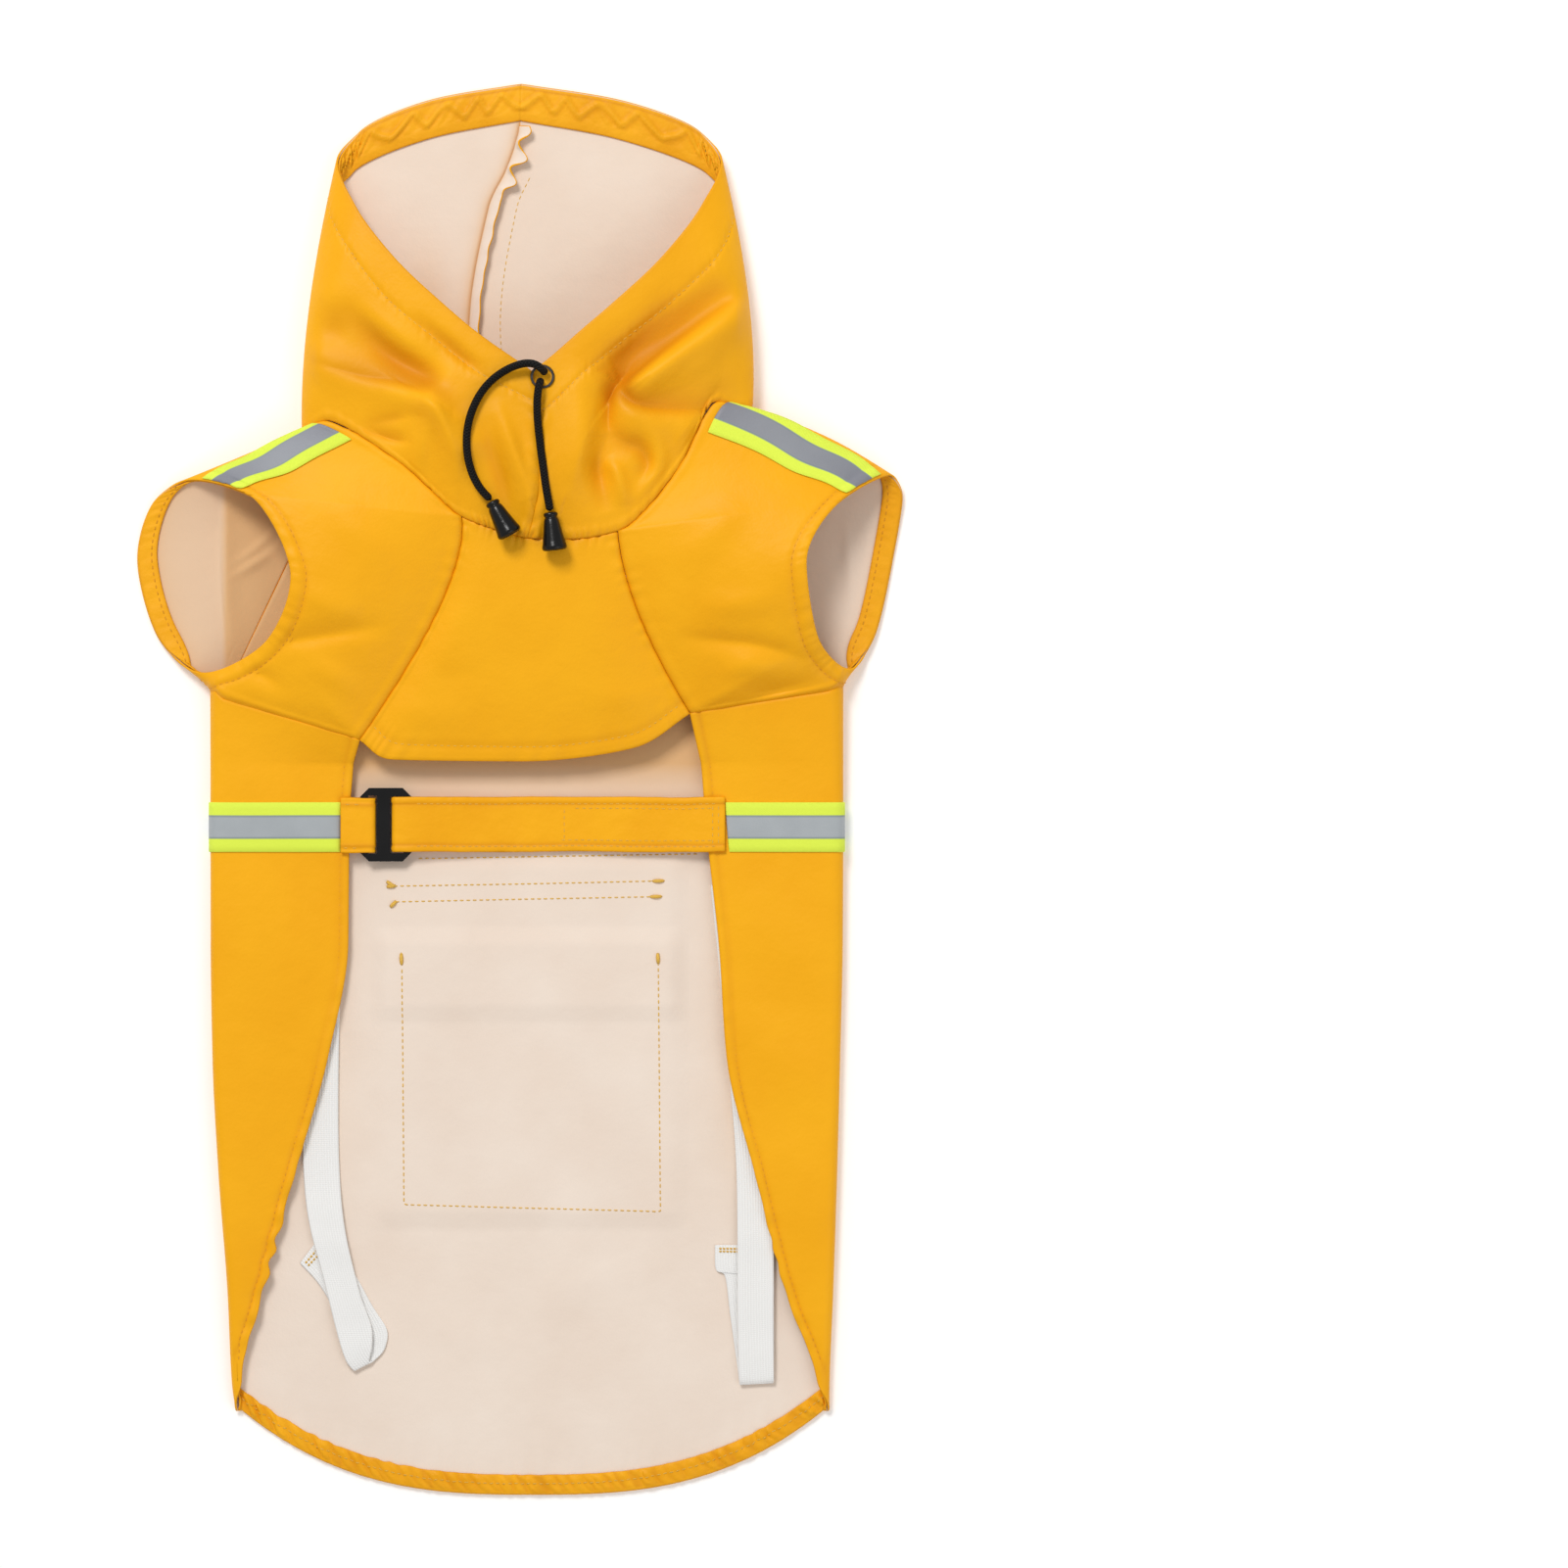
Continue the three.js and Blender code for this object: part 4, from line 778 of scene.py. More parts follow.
CREASE_SHARE = 1.6
CASING_STITCH = {"left": 15.0, "right": 18.5}
hood_parts = {}
for side in ("left", "right"):
    t, s = np.meshgrid(neck_shares, face_shares)
    middle = hood_middle(side, t, s)
    middle[:, [0, -1], 0] += 0.12 * SIGN[side]
    length = hood_length(side, t)
    # Painted shade along the neck seam, the face edge and the front seam, and a painted shadow along the back seam,
    # strongest on the left.
    painted_shade = falloff(s * length, 1.6) + falloff((1 - s) * length, 1.2) * 0.6
    painted_shade += 0.5 * falloff(FRONT_STEP * t, 1.2)
    painted_shade += (1.5 if side == "left" else 0.5) * falloff(FACE_STEP * (8 - t), 1.3)
    # Painted shade in the creases' valleys, and a little over the whole front of the hood.
    valley = np.clip(-crease_relief(middle[..., 0], middle[..., 1], HOOD_CREASES[side]) / 3, 0, 1)
    painted_shade += (0.14 + 1.9 * valley) * ramp(middle[..., 2], 13, 6)
    # Painted shade inside the hood's back, more towards the neck, and in a band on the left.
    inner = (0.1 + 0.45 * (1 - s) ** 2) * (t > 3)
    if side == "left":
        below_band = np.clip((262 - middle[..., 1]) / 40, 0, 1)
        inner = inner + 0.25 * swell(middle[..., 0] + 43, 9) * below_band
    hood = cloth_wall(f"hood_{side}_cloth", middle, CLOTH, coated, outside=SIGN[side], seam=painted_shade, inner_shade=inner)
    ts = np.linspace(0.05, 5.6, 700)
    stitched = 1 - CASING_STITCH[side] / hood_length(side, ts)
    points, normals = upright(lambda t, s: hood_middle(side, t, s), ts, stitched)
    seen = normals[:, 2] > 0.12
    stitches = thread_rows(f"hood_{side}_casing_stitches", [on_face(points[seen], normals[seen])], yellow_thread)
    hood_parts[side] = (hood, middle, stitches)

RUFFLE = {"from": 0.30, "to": 0.925, "width": 5.0, "lean": 0.55}
s = np.linspace(RUFFLE["from"], RUFFLE["to"], 330)
seam_line = hood_middle("left", 8 + 0 * s, s)
along = run_length(seam_line)
side_way = unit(np.cross(np.gradient(seam_line, axis=0), UP))
across = np.linspace(0, RUFFLE["width"], 9)[:, None]
loose = np.clip(np.minimum((s - 0.8) / 0.04, (0.928 - s) / 0.02), 0.06, 1)
drift = 2 * np.pi * along / 12.6 + 0.4 * np.sin(along / 7.0)
wave = (3.1 * loose * np.sin(drift) + 0.25 * wander(along, 16.0)) * (across / RUFFLE["width"]) ** 1.1
outwards = across * np.cos(RUFFLE["lean"]) + wave
height = 1.3 + across * np.sin(RUFFLE["lean"]) + 0.3 * np.abs(wave)
ruffle_grid = seam_line + side_way * outwards[..., None] + UP * height[..., None]
# Painted shade at the foot of the seam allowance.
ruffle = cloth_wall("hood_seam_allowance", ruffle_grid, 0.9, coated, outside=1,
                    seam=0.8 * falloff(across, 1.2) + 0 * ruffle_grid[..., 0])
ruffle.data.materials[0] = coated_inside
s = np.linspace(0.30, 0.84, 300)
points, normals = upright(lambda t, s: hood_middle("right", t, s), 7.74 + 0 * s, s)
allowance_stitches = thread_rows("hood_seam_allowance_stitches", [on_face(points, normals)], yellow_thread,
                                 length=2.3, width=0.4)

# Face opening
# The hood's edge is turned in and sewn down as a casing, which shows as a yellow band inside the hood. The
# drawstring gathers it a little, so it stands in small ridges.
CASING_WIDTH = 15
TURN_UP = 0.8
TURN_UP_LIFT = CLOTH / 2 + 0.25 + TURN_UP / 2
casing_ts = np.concatenate([np.linspace(0, 4, 60), np.linspace(4, 8, 150)[1:]])
turned_in = cloth_material("yellow_cloth_turned_in", (0.95, 0.44, 0.01), (0.86, 0.37, 0.006), 0.5,
                           0.02, 0.006, 0.001, 0.0006)
for side in ("left", "right"):
    length = hood_length(side, casing_ts)
    start = 1 - CASING_WIDTH / length
    shares = np.linspace(0, 1, 28)[:, None]
    s = start + (0.997 - start) * shares
    middle = hood_middle(side, np.broadcast_to(casing_ts, s.shape), s)
    along = FACE_STEP * casing_ts[None]
    zigzag = np.abs(np.mod(along / 9.0 + 0.22 * np.sin(along / 7.3) + 0.1 * np.sin(along / 2.9), 1.0) - 0.5) * 2
    to_ridge = np.abs(shares - 0.36 - 0.5 * zigzag)
    ridge = 1.6 * swell(to_ridge, 0.085) * (0.75 + 0.25 * wander(along, 19.0))
    ridge = ridge + 0.3 * wander(along - 6 * shares, 4.1, 1.0) * (shares > 0.3)
    full = np.clip(np.minimum(shares * 5, (1 - shares) * 6), 0, 1) * ramp(casing_ts, 3, 1.5)[None]
    lift = TURN_UP_LIFT + full * (0.4 + ridge)
    middle = middle - surface_normals(middle) * SIGN[side] * lift[..., None]
    # Painted shade: a dark line just inside the rim, a little along the stitched edge, and beside each ridge.
    painted_shade = 1.3 * swell(shares, 0.04, 0.93) + 0.6 * falloff(shares, 0.08)
    beside = swell(to_ridge, 0.07, 0.17) * np.clip(full, 0, 1) * (shares > 0.25)
    painted_shade = painted_shade + 0.6 * beside
    casing = cloth_wall(f"hood_casing_{side}_cloth", middle, TURN_UP, [turned_in] * 3, seam=painted_shade)
    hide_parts(f"hood_casing_{side}")
    hood, hood_grid, stitches = hood_parts[side]
    inner = [ruffle] if side == "left" else [allowance_stitches]
    lay(f"hood_{side}")

# Back panel
# One panel of coated cloth covers the back, wraps both sides and ends in two flaps on the belly side.
# Its lower edge is cut in a curve and its flaps narrow to nothing at the hem.
HEM = {"level": -285, "sag": 38.6, "roundness": 2.8, "straight_above": -205}
CHEST_LEVEL = 12
TOP_LEVEL = 51
BACK_NECK_SHARE = 0.67
TAPE_BAND = {"low": -28.4, "high": -6.1, "left_end": -82.4, "right_end": 95.4}
POCKET = {"centre": 5, "half_width": 60, "low": -192, "high": -73}
POCKET_FLAP = {"centre": 4, "half_width": 63, "low": -96, "high": -38}
POCKET_EASE = 8
LAYER = 1.3
TAPE_LAYER = 0.9
BODY_ROWS = [
    # level, left, right, radius of the side fold, its turn, flap left, flap right, drop of a flap's edge
    (-285, -130.6, 142.2, 3.0, 0.35, 0.8, 0.8, 0.0),
    (-271, -132.3, 142.4, 3.4, 1.00, 1.2, 2.2, 0.1),
    (-231, -134.1, 144.0, 4.2, 1.00, 12.0, 17.3, 1.2),
    (-177, -138.2, 145.8, 4.5, 1.00, 30.2, 32.8, 2.4),
    (-123, -141.0, 147.2, 4.6, 1.00, 48.2, 47.2, 2.8),
    (-69, -141.8, 148.4, 4.8, 1.00, 58.2, 52.0, 3.2),
    (-18, -141.8, 148.6, 5.2, 1.00, 58.3, 57.4, 3.8),
    (12, -141.8, 148.6, 5.6, 1.00, 59.8, 59.4, 3.8),
    (51, -141.8, 148.6, 6.8, 1.00, 62.0, 63.3, 1.0),
]
ARMHOLE = {"left": (45, 22.8), "right": (47, 35)}
body_levels = [row[0] for row in BODY_ROWS]
body_left, body_right, fold_radius, fold_turn, flap_left, flap_right, flap_drop = (
    monotone(body_levels, [row[column] for row in BODY_ROWS]) for column in range(1, 8)
)


def plateau(value, low, high, ease):
    """1 between low and high, falling to 0 over the ease outside them."""
    return np.clip(np.minimum((value - low) / ease + 1, (high - value) / ease + 1), 0, 1)


def panel_lift(x, y):
    """How far the tape and the pocket's layers under the back panel lift it."""
    over = plateau(x, POCKET_FLAP["centre"] - POCKET_FLAP["half_width"] - 2,
                   POCKET_FLAP["centre"] + POCKET_FLAP["half_width"] + 2, POCKET_EASE)
    one = plateau(y, POCKET["low"] - 2, POCKET_FLAP["high"] + 2, POCKET_EASE)
    two = plateau(y, POCKET_FLAP["low"] - 3, POCKET["high"] + 2, POCKET_EASE)
    tape = plateau(y, TAPE_BAND["low"] - 0.6, TAPE_BAND["high"] + 0.6, POCKET_EASE)
    return np.maximum(TAPE_LAYER * tape, LAYER * over * (one + two))


def wrap_point(outwards, share, level):
    """A row of cloth past the side fold: an arc of the fold's radius while share is below 0.5, then the flap,
    straight on from the arc's end, with its free edge lowered along a smooth step."""
    radius = fold_radius(level)
    turned = radius - 0.6
    angle = fold_turn(level) * np.pi * np.minimum(1, share / 0.5)
    edge, flap = (body_left(level), flap_left(level)) if outwards < 0 else (body_right(level), flap_right(level))
    over = np.maximum(0, share - 0.5) / 0.5
    reach = turned * np.sin(angle) + over * flap * np.cos(angle)
    height = (radius - turned * np.cos(angle) + over * flap * np.sin(angle)
              - flap_drop(level) * over * over * (3 - 2 * over))
    return np.stack([edge - outwards * radius + outwards * reach, level + 0 * height, height], -1)


def body_row(u, level):
    """u is -2 at the left flap's free edge, -1 to 1 across the back and 2 at the right flap's free edge."""
    share = np.maximum(np.abs(u) - 1, 0)
    left, right = wrap_point(-1, share, level), wrap_point(1, share, level)
    wrapped = np.where((u < 0)[..., None], left, right)
    flat_left, flat_right = wrap_point(-1, 0 * u, level), wrap_point(1, 0 * u, level)
    back = flat_left + (flat_right - flat_left) * ((u + 1) / 2)[..., None]
    point = np.where((np.abs(u) > 1)[..., None], wrapped, back)
    slack = np.clip((level - HEM["level"]) / (HEM["straight_above"] - HEM["level"]), 0, 1)
    slack = 1 - slack * slack * (3 - 2 * slack)
    point[..., 1] -= HEM["sag"] * slack * (1 - np.minimum(1, np.abs(u)) ** HEM["roundness"])
    point[..., 2] += panel_lift(point[..., 0], point[..., 1]) * np.clip(3 - 2 * np.abs(u), 0, 1)
    return point


def body_top_side(outwards, across):
    """The panel's upper edge on one side: hood seam, back raglan seam, and the flap's seam to the sleeve."""
    side = "left" if outwards < 0 else "right"
    neck = hood_curves[side][0]
    fold, corner = ARMHOLE[side]
    level = TOP_LEVEL + 0 * across
    at_neck = neck(8 - 2 * np.minimum(across, BACK_NECK_SHARE) / BACK_NECK_SHARE)
    foot = wrap_point(outwards, 0 * across, level)
    foot[..., 1] = fold
    share = ramp(across, BACK_NECK_SHARE, 1 - BACK_NECK_SHARE)[..., None]
    raglan = neck(6 + 0 * across) * (1 - share) + foot * share
    flap = wrap_point(outwards, np.maximum(across - 1, 0), level)
    flap[..., 1] = fold + (corner - fold) * ramp(across, 1.4, 0.6)
    point = np.where((across <= BACK_NECK_SHARE)[..., None], at_neck, raglan)
    return np.where((across > 1)[..., None], flap, point)


def body_top(u):
    """The panel's upper edge, on the side that the sign of u gives."""
    across = np.abs(u)
    return np.where((u < 0)[..., None], body_top_side(-1, across), body_top_side(1, across))


def body_surface(u, level):
    """Rows below the chest as they are, and above it a straight blend up to the panel's upper edge."""
    u, level = np.broadcast_arrays(np.asarray(u, float), np.asarray(level, float))
    row = body_row(u, np.minimum(level, CHEST_LEVEL))
    share = ramp(level, CHEST_LEVEL, TOP_LEVEL - CHEST_LEVEL)[..., None]
    return row * (1 - share) + body_top(u) * share


FLAP_HEM = 3.8


def flap_edge(u, level):
    """Distance over a flap from its free edge."""
    width = np.where(u < 0, flap_left(level), flap_right(level))
    return np.clip((2 - np.abs(u)) / 0.5, 0, 9) * width


def body_middle(u, level):
    """The panel with soft waves over the back, a rolled hem along each flap, and puckers along the lower hem."""
    u, level = np.broadcast_arrays(np.asarray(u, float), np.asarray(level, float))
    point = body_surface(u, level)
    x, y = point[..., 0], point[..., 1]
    on_flap = ramp(np.abs(u), 1.5, 0.08)
    on_back = np.clip((1 - np.abs(u)) / 0.15, 0, 1)
    edge = flap_edge(u, level)
    tight = np.where(u < 0, 1.0, 0.35)
    low = np.clip((-150 - y) / 60, 0, 1)
    roll = 0.55 * swell(edge, 1.3, 1.7) - 0.5 * swell(edge, 0.9, FLAP_HEM)
    pucker = (0.25 + 0.9 * low * tight) * wander(y, 15.0, 0.6) * swell(edge, 5.0)
    waves = 0.5 * wander(y + 0.5 * x, 74.0, 1.0) * np.clip(edge / 20, 0, 1)
    narrow = np.clip(np.where(u < 0, flap_left(level), flap_right(level)) / 12, 0, 1)
    point[..., 2] += on_flap * narrow * (roll + pucker + waves)
    inwards = np.where(u < 0, 1, -1)
    point[..., 0] += inwards * on_flap * narrow * low * tight * 1.1 * wander(y, 15.0, 1.9) * falloff(edge, 3.5)
    back = (0.35 * wander(0.8 * x + 0.3 * y, 88.0, 0.4) + 0.25 * wander(x - 0.35 * y, 51.0, 2.0)
            + crease_relief(x, y, BACK_CREASES))
    clear_of_ends = np.clip(np.minimum((level + 272) / 70, (TOP_LEVEL - level) / 14), 0, 1)
    point[..., 2] += on_back * np.maximum(back, -0.2) * clear_of_ends
    from_hem = level - HEM["level"]
    gather = wander(x, 8.5, 0.3) * swell(from_hem, 6, 9)
    gather = gather + 0.6 * wander(x, 6.1, 1.2) * falloff(from_hem, 5)
    point[..., 2] += on_back * 0.55 * np.maximum(gather + 0.25, -0.1)
    return point


BACK_CREASES = [
    ([(-40, -20, 0), (-34, -60, 0.5), (-30, -110, 0)], 12, 12, 2.0),
    ([(58, -210, 0), (30, -228, 0.7), (-6, -236, 0)], 11, 7, 2.0),
    ([(-60, -225, 0), (-30, -250, 0.6), (10, -262, 0)], 8, 8, 2.0),
    ([(70, -90, 0), (76, -130, 0.6), (72, -180, 0)], 7, 9, 2.0),
    ([(20, 5, 0), (30, -20, 0.6), (24, -60, 0)], 9, 9, 2.0),
]
back_half = np.concatenate([
    np.linspace(0, 1, 70), 1 + np.linspace(0, 0.5, 15)[1:], 1.5 + np.linspace(0, 0.5, 35)[1:],
])
body_us = np.concatenate([-back_half[:0:-1], back_half])
body_vs = np.concatenate([
    np.linspace(HEM["level"], CHEST_LEVEL, 180), np.linspace(CHEST_LEVEL, TOP_LEVEL - 0.3, 21)[1:],
])


def back_u(x, level):
    """The body's u where the back panel is at x."""
    left, right = (wrap_point(outwards, 0 * level, level)[..., 0] for outwards in (-1, 1))
    return 2 * (x - left) / (right - left) - 1


def between(corners, count):
    """Evenly spaced x and y along straight lines between corners."""
    corners = np.array(corners, float)
    run = run_length(corners)
    at = np.linspace(0, run[-1], count)
    return [np.interp(at, run, corners[:, k]) for k in (0, 1)]


def back_row(corners, count):
    """A row along straight lines between corners, on the back panel's inside, which faces up."""
    x, y = between(corners, count)
    return on_face(*upright(body_middle, back_u(x, y), y))


u, v = np.meshgrid(body_us, body_vs)
body_grid = body_middle(u, v)
# Painted shade along the stitched groove of each flap's hem and along the panel's upper seam.
painted_shade = 0.9 * falloff(np.abs(flap_edge(u, v) - FLAP_HEM), 0.7) * (np.abs(u) > 1.4)
painted_shade = painted_shade + 0.5 * falloff(TOP_LEVEL - v, 1.5) * (np.abs(u) > 1.3)
shadow = falloff(np.maximum(13 - body_grid[..., 1], 0), 18)
beside = np.minimum(np.abs(body_grid[..., 0] + 94), np.abs(body_grid[..., 0] - 98))
shadow = np.maximum(shadow, 0.22 * falloff(beside, 12) * np.clip((body_grid[..., 1] + 210) / 60, 0, 1))
shadow = shadow * (np.abs(u) < 1)
body = cloth_wall("body_panel_cloth", body_grid, CLOTH, coated, outside=-1, seam=painted_shade, inner_shade=shadow)

pocket_rows = [back_row(corners, 200) for corners in (
    [(-47, -31.8), (18, -30.6), (82, -29.6)],
    [(-58.4, -44.4), (0, -43.4), (64, -42.0)],
    [(-57.6, -51.6), (0, -50.4), (63.5, -49.2)],
    [(-54.0, -82.0), (-53.2, -190.6), (64.6, -193.8), (63.6, -78.5)],
)]
bartacks = [back_row(corners, 20) for corners in (
    [(60.0, -42.1), (67.2, -41.9)], [(59.0, -49.3), (66.0, -49.1)], [(-54.3, -74.6), (-54.1, -81.0)],
    [(-61.0, -42.2), (-57.4, -44.8)], [(-59.4, -54.0), (-56.6, -51.2)], [(63.4, -75.0), (63.6, -80.0)],
    [(-61.0, -44.6), (-57.0, -44.2)],
)]
inside_stitches = thread_rows("inside_stitches", pocket_rows, yellow_thread, pitch=2.9, length=2.1, width=0.55)
tacks = thread_rows("inside_bartacks", bartacks, yellow_thread, pitch=7.5, length=6.2, width=1.7)
level = np.linspace(-262, 12, 400)
flap_rows = []
for outwards, width in ((-1, flap_left(level)), (1, flap_right(level))):
    us = outwards * (2 - 0.5 * FLAP_HEM / np.maximum(width, 5))
    flap_rows.append(on_face(*upright(body_middle, us, level)))
flap_stitches = thread_rows("flap_hem_stitches", flap_rows, deep_thread, length=2.0, width=0.4)

# Hem
# The lower edge is turned up inside, 8 to 10 mm wide, and sewn down. It follows a curve, so it stands in small
# slanting wrinkles.
hem_us = np.concatenate([np.linspace(-1.9, -1, 24), np.linspace(-1, 1, 420)[1:], np.linspace(1, 1.9, 24)[1:]])
u, share = np.meshgrid(hem_us, np.linspace(0, 1, 18))
scallop = 0.45 * wander(130 * u, 9.0, 1.0) * np.clip(-1.4 * u, 0.15, 1)
turned_width = 7.6 + 2.6 * np.minimum(np.abs(u), 1) ** 2 + scallop
middle = body_middle(u, HEM["level"] + 0.3 + share * (turned_width - 0.3))
around = middle[..., 0] + 5 * share
at_ends = 0.75 + 0.9 * np.clip(np.abs(u) - 0.6, 0, 0.4) / 0.4
wrinkle = at_ends * (0.75 * np.maximum(wander(around, 7.3), -0.3) + 0.35 * wander(around + 3 * share, 4.3, 2.0))
lift = TURN_UP_LIFT + np.clip(np.minimum(4 * share, 5 * (1 - share)), 0, 1) * (0.35 + wrinkle)
middle = middle + surface_normals(middle) * np.maximum(lift, TURN_UP_LIFT)[..., None]
# Painted shade in the valleys of the wrinkles and along the row of stitches.
painted_shade = 1.0 * np.clip(-wander(around, 7.3), 0, 1) * (share > 0.1) + 0.3 * falloff(np.abs(share - 0.59), 0.05)
hem = cloth_wall("hem_turn_up_cloth", middle, TURN_UP, [turned_in] * 3, seam=painted_shade)
STITCHED_ROW = 10
normals = surface_normals(middle)[STITCHED_ROW]
hem_stitches = thread_rows("hem_stitches", [(middle[STITCHED_ROW] + normals * TURN_UP / 2, normals)], yellow_thread,
                           width=0.5)
points, normals = upright(body_middle, np.linspace(-0.97, 0.97, 500), HEM["level"] + 8.6)
under_stitches = thread_rows("hem_stitches_under", [on_face(points, -normals)], yellow_thread, width=0.45)
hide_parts("hem_turn_up")
lay("body_panel")

# Chest panel
# A panel between the two raglan seams, sewn to the hood at the neck, with a free hem over the belly.
RAGLAN = {
    "left": ((-35.2, 84.0, 20.5), (-72.7, 22.8, 12.0)),
    "right": ((55.0, 80.0, 20.5), (78.2, 35.0, 12.0)),
}
CHEST_HEM = [(-58, 14.0), (2, 13.2), (52, 19.2)]
CHEST_HEM_HEIGHT = 12.5
CHEST_BULGE = 2.5
CHEST_LENGTH = 100
CHEST_STITCH = 5


def raglan_seam(side, t):
    """The chest panel's seam to a sleeve: a parabola from the neck, through its middle, to its corner."""
    t = np.asarray(t, float)
    middle, corner = (np.array(point) for point in RAGLAN[side])
    return blend_three(hood_curves[side][0](2.0 + 0 * t), middle, corner, t[..., None])


chest_hem = monotone(range(5), [
    RAGLAN["left"][1], *[(x, y, CHEST_HEM_HEIGHT) for x, y in CHEST_HEM], RAGLAN["right"][1],
])


def chest_surface(across, down):
    """Patch between four edges: the sum of the two pairs of edges blended across and down, less the corners."""
    a, d = across[..., None], down[..., None]
    neck = np.where(a < 0.5, hood_curves["left"][0](2 - 4 * np.minimum(across, 0.5)),
                    hood_curves["right"][0](4 * np.maximum(across, 0.5) - 2))
    left, right = raglan_seam("left", down), raglan_seam("right", down)
    corners = (raglan_seam("left", 0 * down) * (1 - a) * (1 - d) + raglan_seam("right", 0 * down) * a * (1 - d)
               + raglan_seam("left", 0 * down + 1) * (1 - a) * d + raglan_seam("right", 0 * down + 1) * a * d)
    point = left * (1 - a) + right * a + neck * (1 - d) + chest_hem(4 * across) * d - corners
    point[..., 2] += CHEST_BULGE * 4 * across * (1 - across) * np.sin(np.pi * down)
    return point


CHEST_CREASES = [
    ([(-24, 118, 0), (-30, 100, 0.9), (-40, 84, 0.2)], 5, 7, 1.8),
    ([(44, 108, 0), (47, 92, 0.8), (54, 76, 0.1)], 7, 5, 1.8),
    ([(-60, 40, 0), (-40, 34, 0.8), (-16, 36, 0)], 6, 8, 2.0),
    ([(70, 44, 0), (48, 42, 0.8), (24, 46, 0)], 8, 6, 2.0),
    ([(-30, 70, 0), (0, 62, -0.6), (30, 70, 0)], 12, 12, 2.0),
    ([(-46, 60, 0), (-30, 52, -0.7), (-8, 54, 0)], 7, 7, 2.0),
]


def chest_middle(a, d):
    """The chest panel with soft creases, the puckers of its seams, and its stitched hem."""
    a, d = np.broadcast_arrays(np.asarray(a, float), np.asarray(d, float))
    point = chest_surface(a, d)
    width = 110 + 40 * d
    from_sides = np.minimum(a, 1 - a) * width
    from_neck, from_hem = d * CHEST_LENGTH, (1 - d) * CHEST_LENGTH
    relief = crease_relief(point[..., 0], point[..., 1], CHEST_CREASES) * np.clip(from_sides / 6, 0, 1)
    relief += 0.5 * swell(from_sides, 1.9, 2.6) - 0.4 * swell(from_sides, 1.2)
    relief += 0.35 * wander(from_neck, 9.0) * swell(from_sides, 6)
    relief += 0.5 * wander(a * width, 8.0, 1.0) * swell(from_neck, 6) - 0.5 * falloff(from_neck, 1.5)
    relief += 0.35 * wander(a * width, 9.5, 2.0) * swell(from_hem, 7) - 0.5 * swell(from_hem, 1.1, CHEST_STITCH)
    point[..., 2] += relief
    return point


a, d = np.meshgrid(np.linspace(0.003, 0.997, 110), np.linspace(0.004, 1, 90))
middle = chest_middle(a, d)
# Painted shade along the seams and the hem's row of stitches; the inside takes half of the inner shade.
painted_shade = falloff(np.minimum(a, 1 - a) * 130, 1.2) + falloff(d * CHEST_LENGTH, 1.2)
painted_shade = painted_shade + 0.5 * falloff(np.abs((1 - d) * CHEST_LENGTH - CHEST_STITCH), 0.9)
chest = cloth_wall("chest_panel_cloth", middle, CLOTH, coated, outside=-1, seam=painted_shade, inner_shade=0.5 + 0 * a)
row = on_face(*upright(chest_middle, np.linspace(0.02, 0.98, 300), 1 - CHEST_STITCH / CHEST_LENGTH))
chest_stitches = thread_rows("chest_hem_stitches", [row], yellow_thread)
lay("chest_panel")

# Sleeves
# Two short raglan cap sleeves for the forelegs, each with a hem turned in at its cuff. A sleeve lies open:
# its back edge rests on the floor and its front edge stands up from it.
CUFFS = {
    # x, y, z at eight places round each cuff, from the top over the front to the bottom and the back
    "left": [(-149.5, 141.8, 8.5), (-122, 134, 24), (-102.5, 97, 31), (-114, 68, 22),
             (-144, 53.2, 9), (-165.6, 69.5, 2), (-175.4, 106, 0.8), (-167.5, 132.5, 2)],
    "right": [(169.5, 144, 9), (146, 130.5, 28), (131.2, 103, 37), (137, 68, 25),
              (151, 55, 9), (162, 69, 2), (171, 106, 0.8), (175.4, 134, 2.2)],
}
SLEEVE_BULGE = [0, 4, 2.5, 3, 1, 0, 0, 0]
SLEEVE_TOP_RISE = {"left": 0.5, "right": 5.5}
SHOULDER = 4.35
CUFF_TURN_UP = 9
CUFF_STEP = 45


def closed_curve(points):
    """A curve through points and round again, counted in points."""
    points = np.asarray(points, float)
    count = len(points)
    around = monotone(range(count + 5), np.concatenate([points[-2:], points, points[:3]]))
    return lambda t: around(np.mod(t, count) + 2)


cuff_curves = {side: closed_curve(points) for side, points in CUFFS.items()}
sleeve_bulge = closed_curve(np.array(SLEEVE_BULGE, float))


def armhole(side, place):
    """The sleeve's seam point for a place round the cuff: neck, raglan seam, flap, side fold, back raglan."""
    outwards = SIGN[side]
    neck = hood_curves[side][0]
    stretches = [
        (1, neck(SHOULDER + (2 - SHOULDER) * np.clip(place, 0, 1))),
        (3, raglan_seam(side, ramp(place, 1, 2))),
        (4, body_top(outwards * (2 - 0.75 * np.clip(place - 3, 0, 1)))),
        (5, body_top(outwards * (1.25 - 0.41 * np.clip(place - 4, 0, 1)))),
        (6, body_top(outwards * (0.84 - 0.17 * np.clip(place - 5, 0, 1)))),
    ]
    point = neck(6 + (SHOULDER - 6) * np.clip(place - 6, 0, 2) / 2)
    for end, stretch in stretches[::-1]:
        point = np.where((place <= end)[..., None], stretch, point)
    return point


def sleeve_surface(side, place, s):
    """Straight lines from the armhole to the cuff, bowed up in the middle by the bulge of that place."""
    place, s = np.broadcast_arrays(np.asarray(place, float), np.asarray(s, float))
    wrapped = np.mod(place, 8)
    point = armhole(side, wrapped) * (1 - s)[..., None] + cuff_curves[side](wrapped) * s[..., None]
    bow = 4 * s * (1 - s)
    point[..., 1] += bow * SLEEVE_TOP_RISE[side] * np.clip(1 - np.minimum(wrapped, 8 - wrapped), 0, 1)
    point[..., 2] += bow * sleeve_bulge(wrapped)
    return point


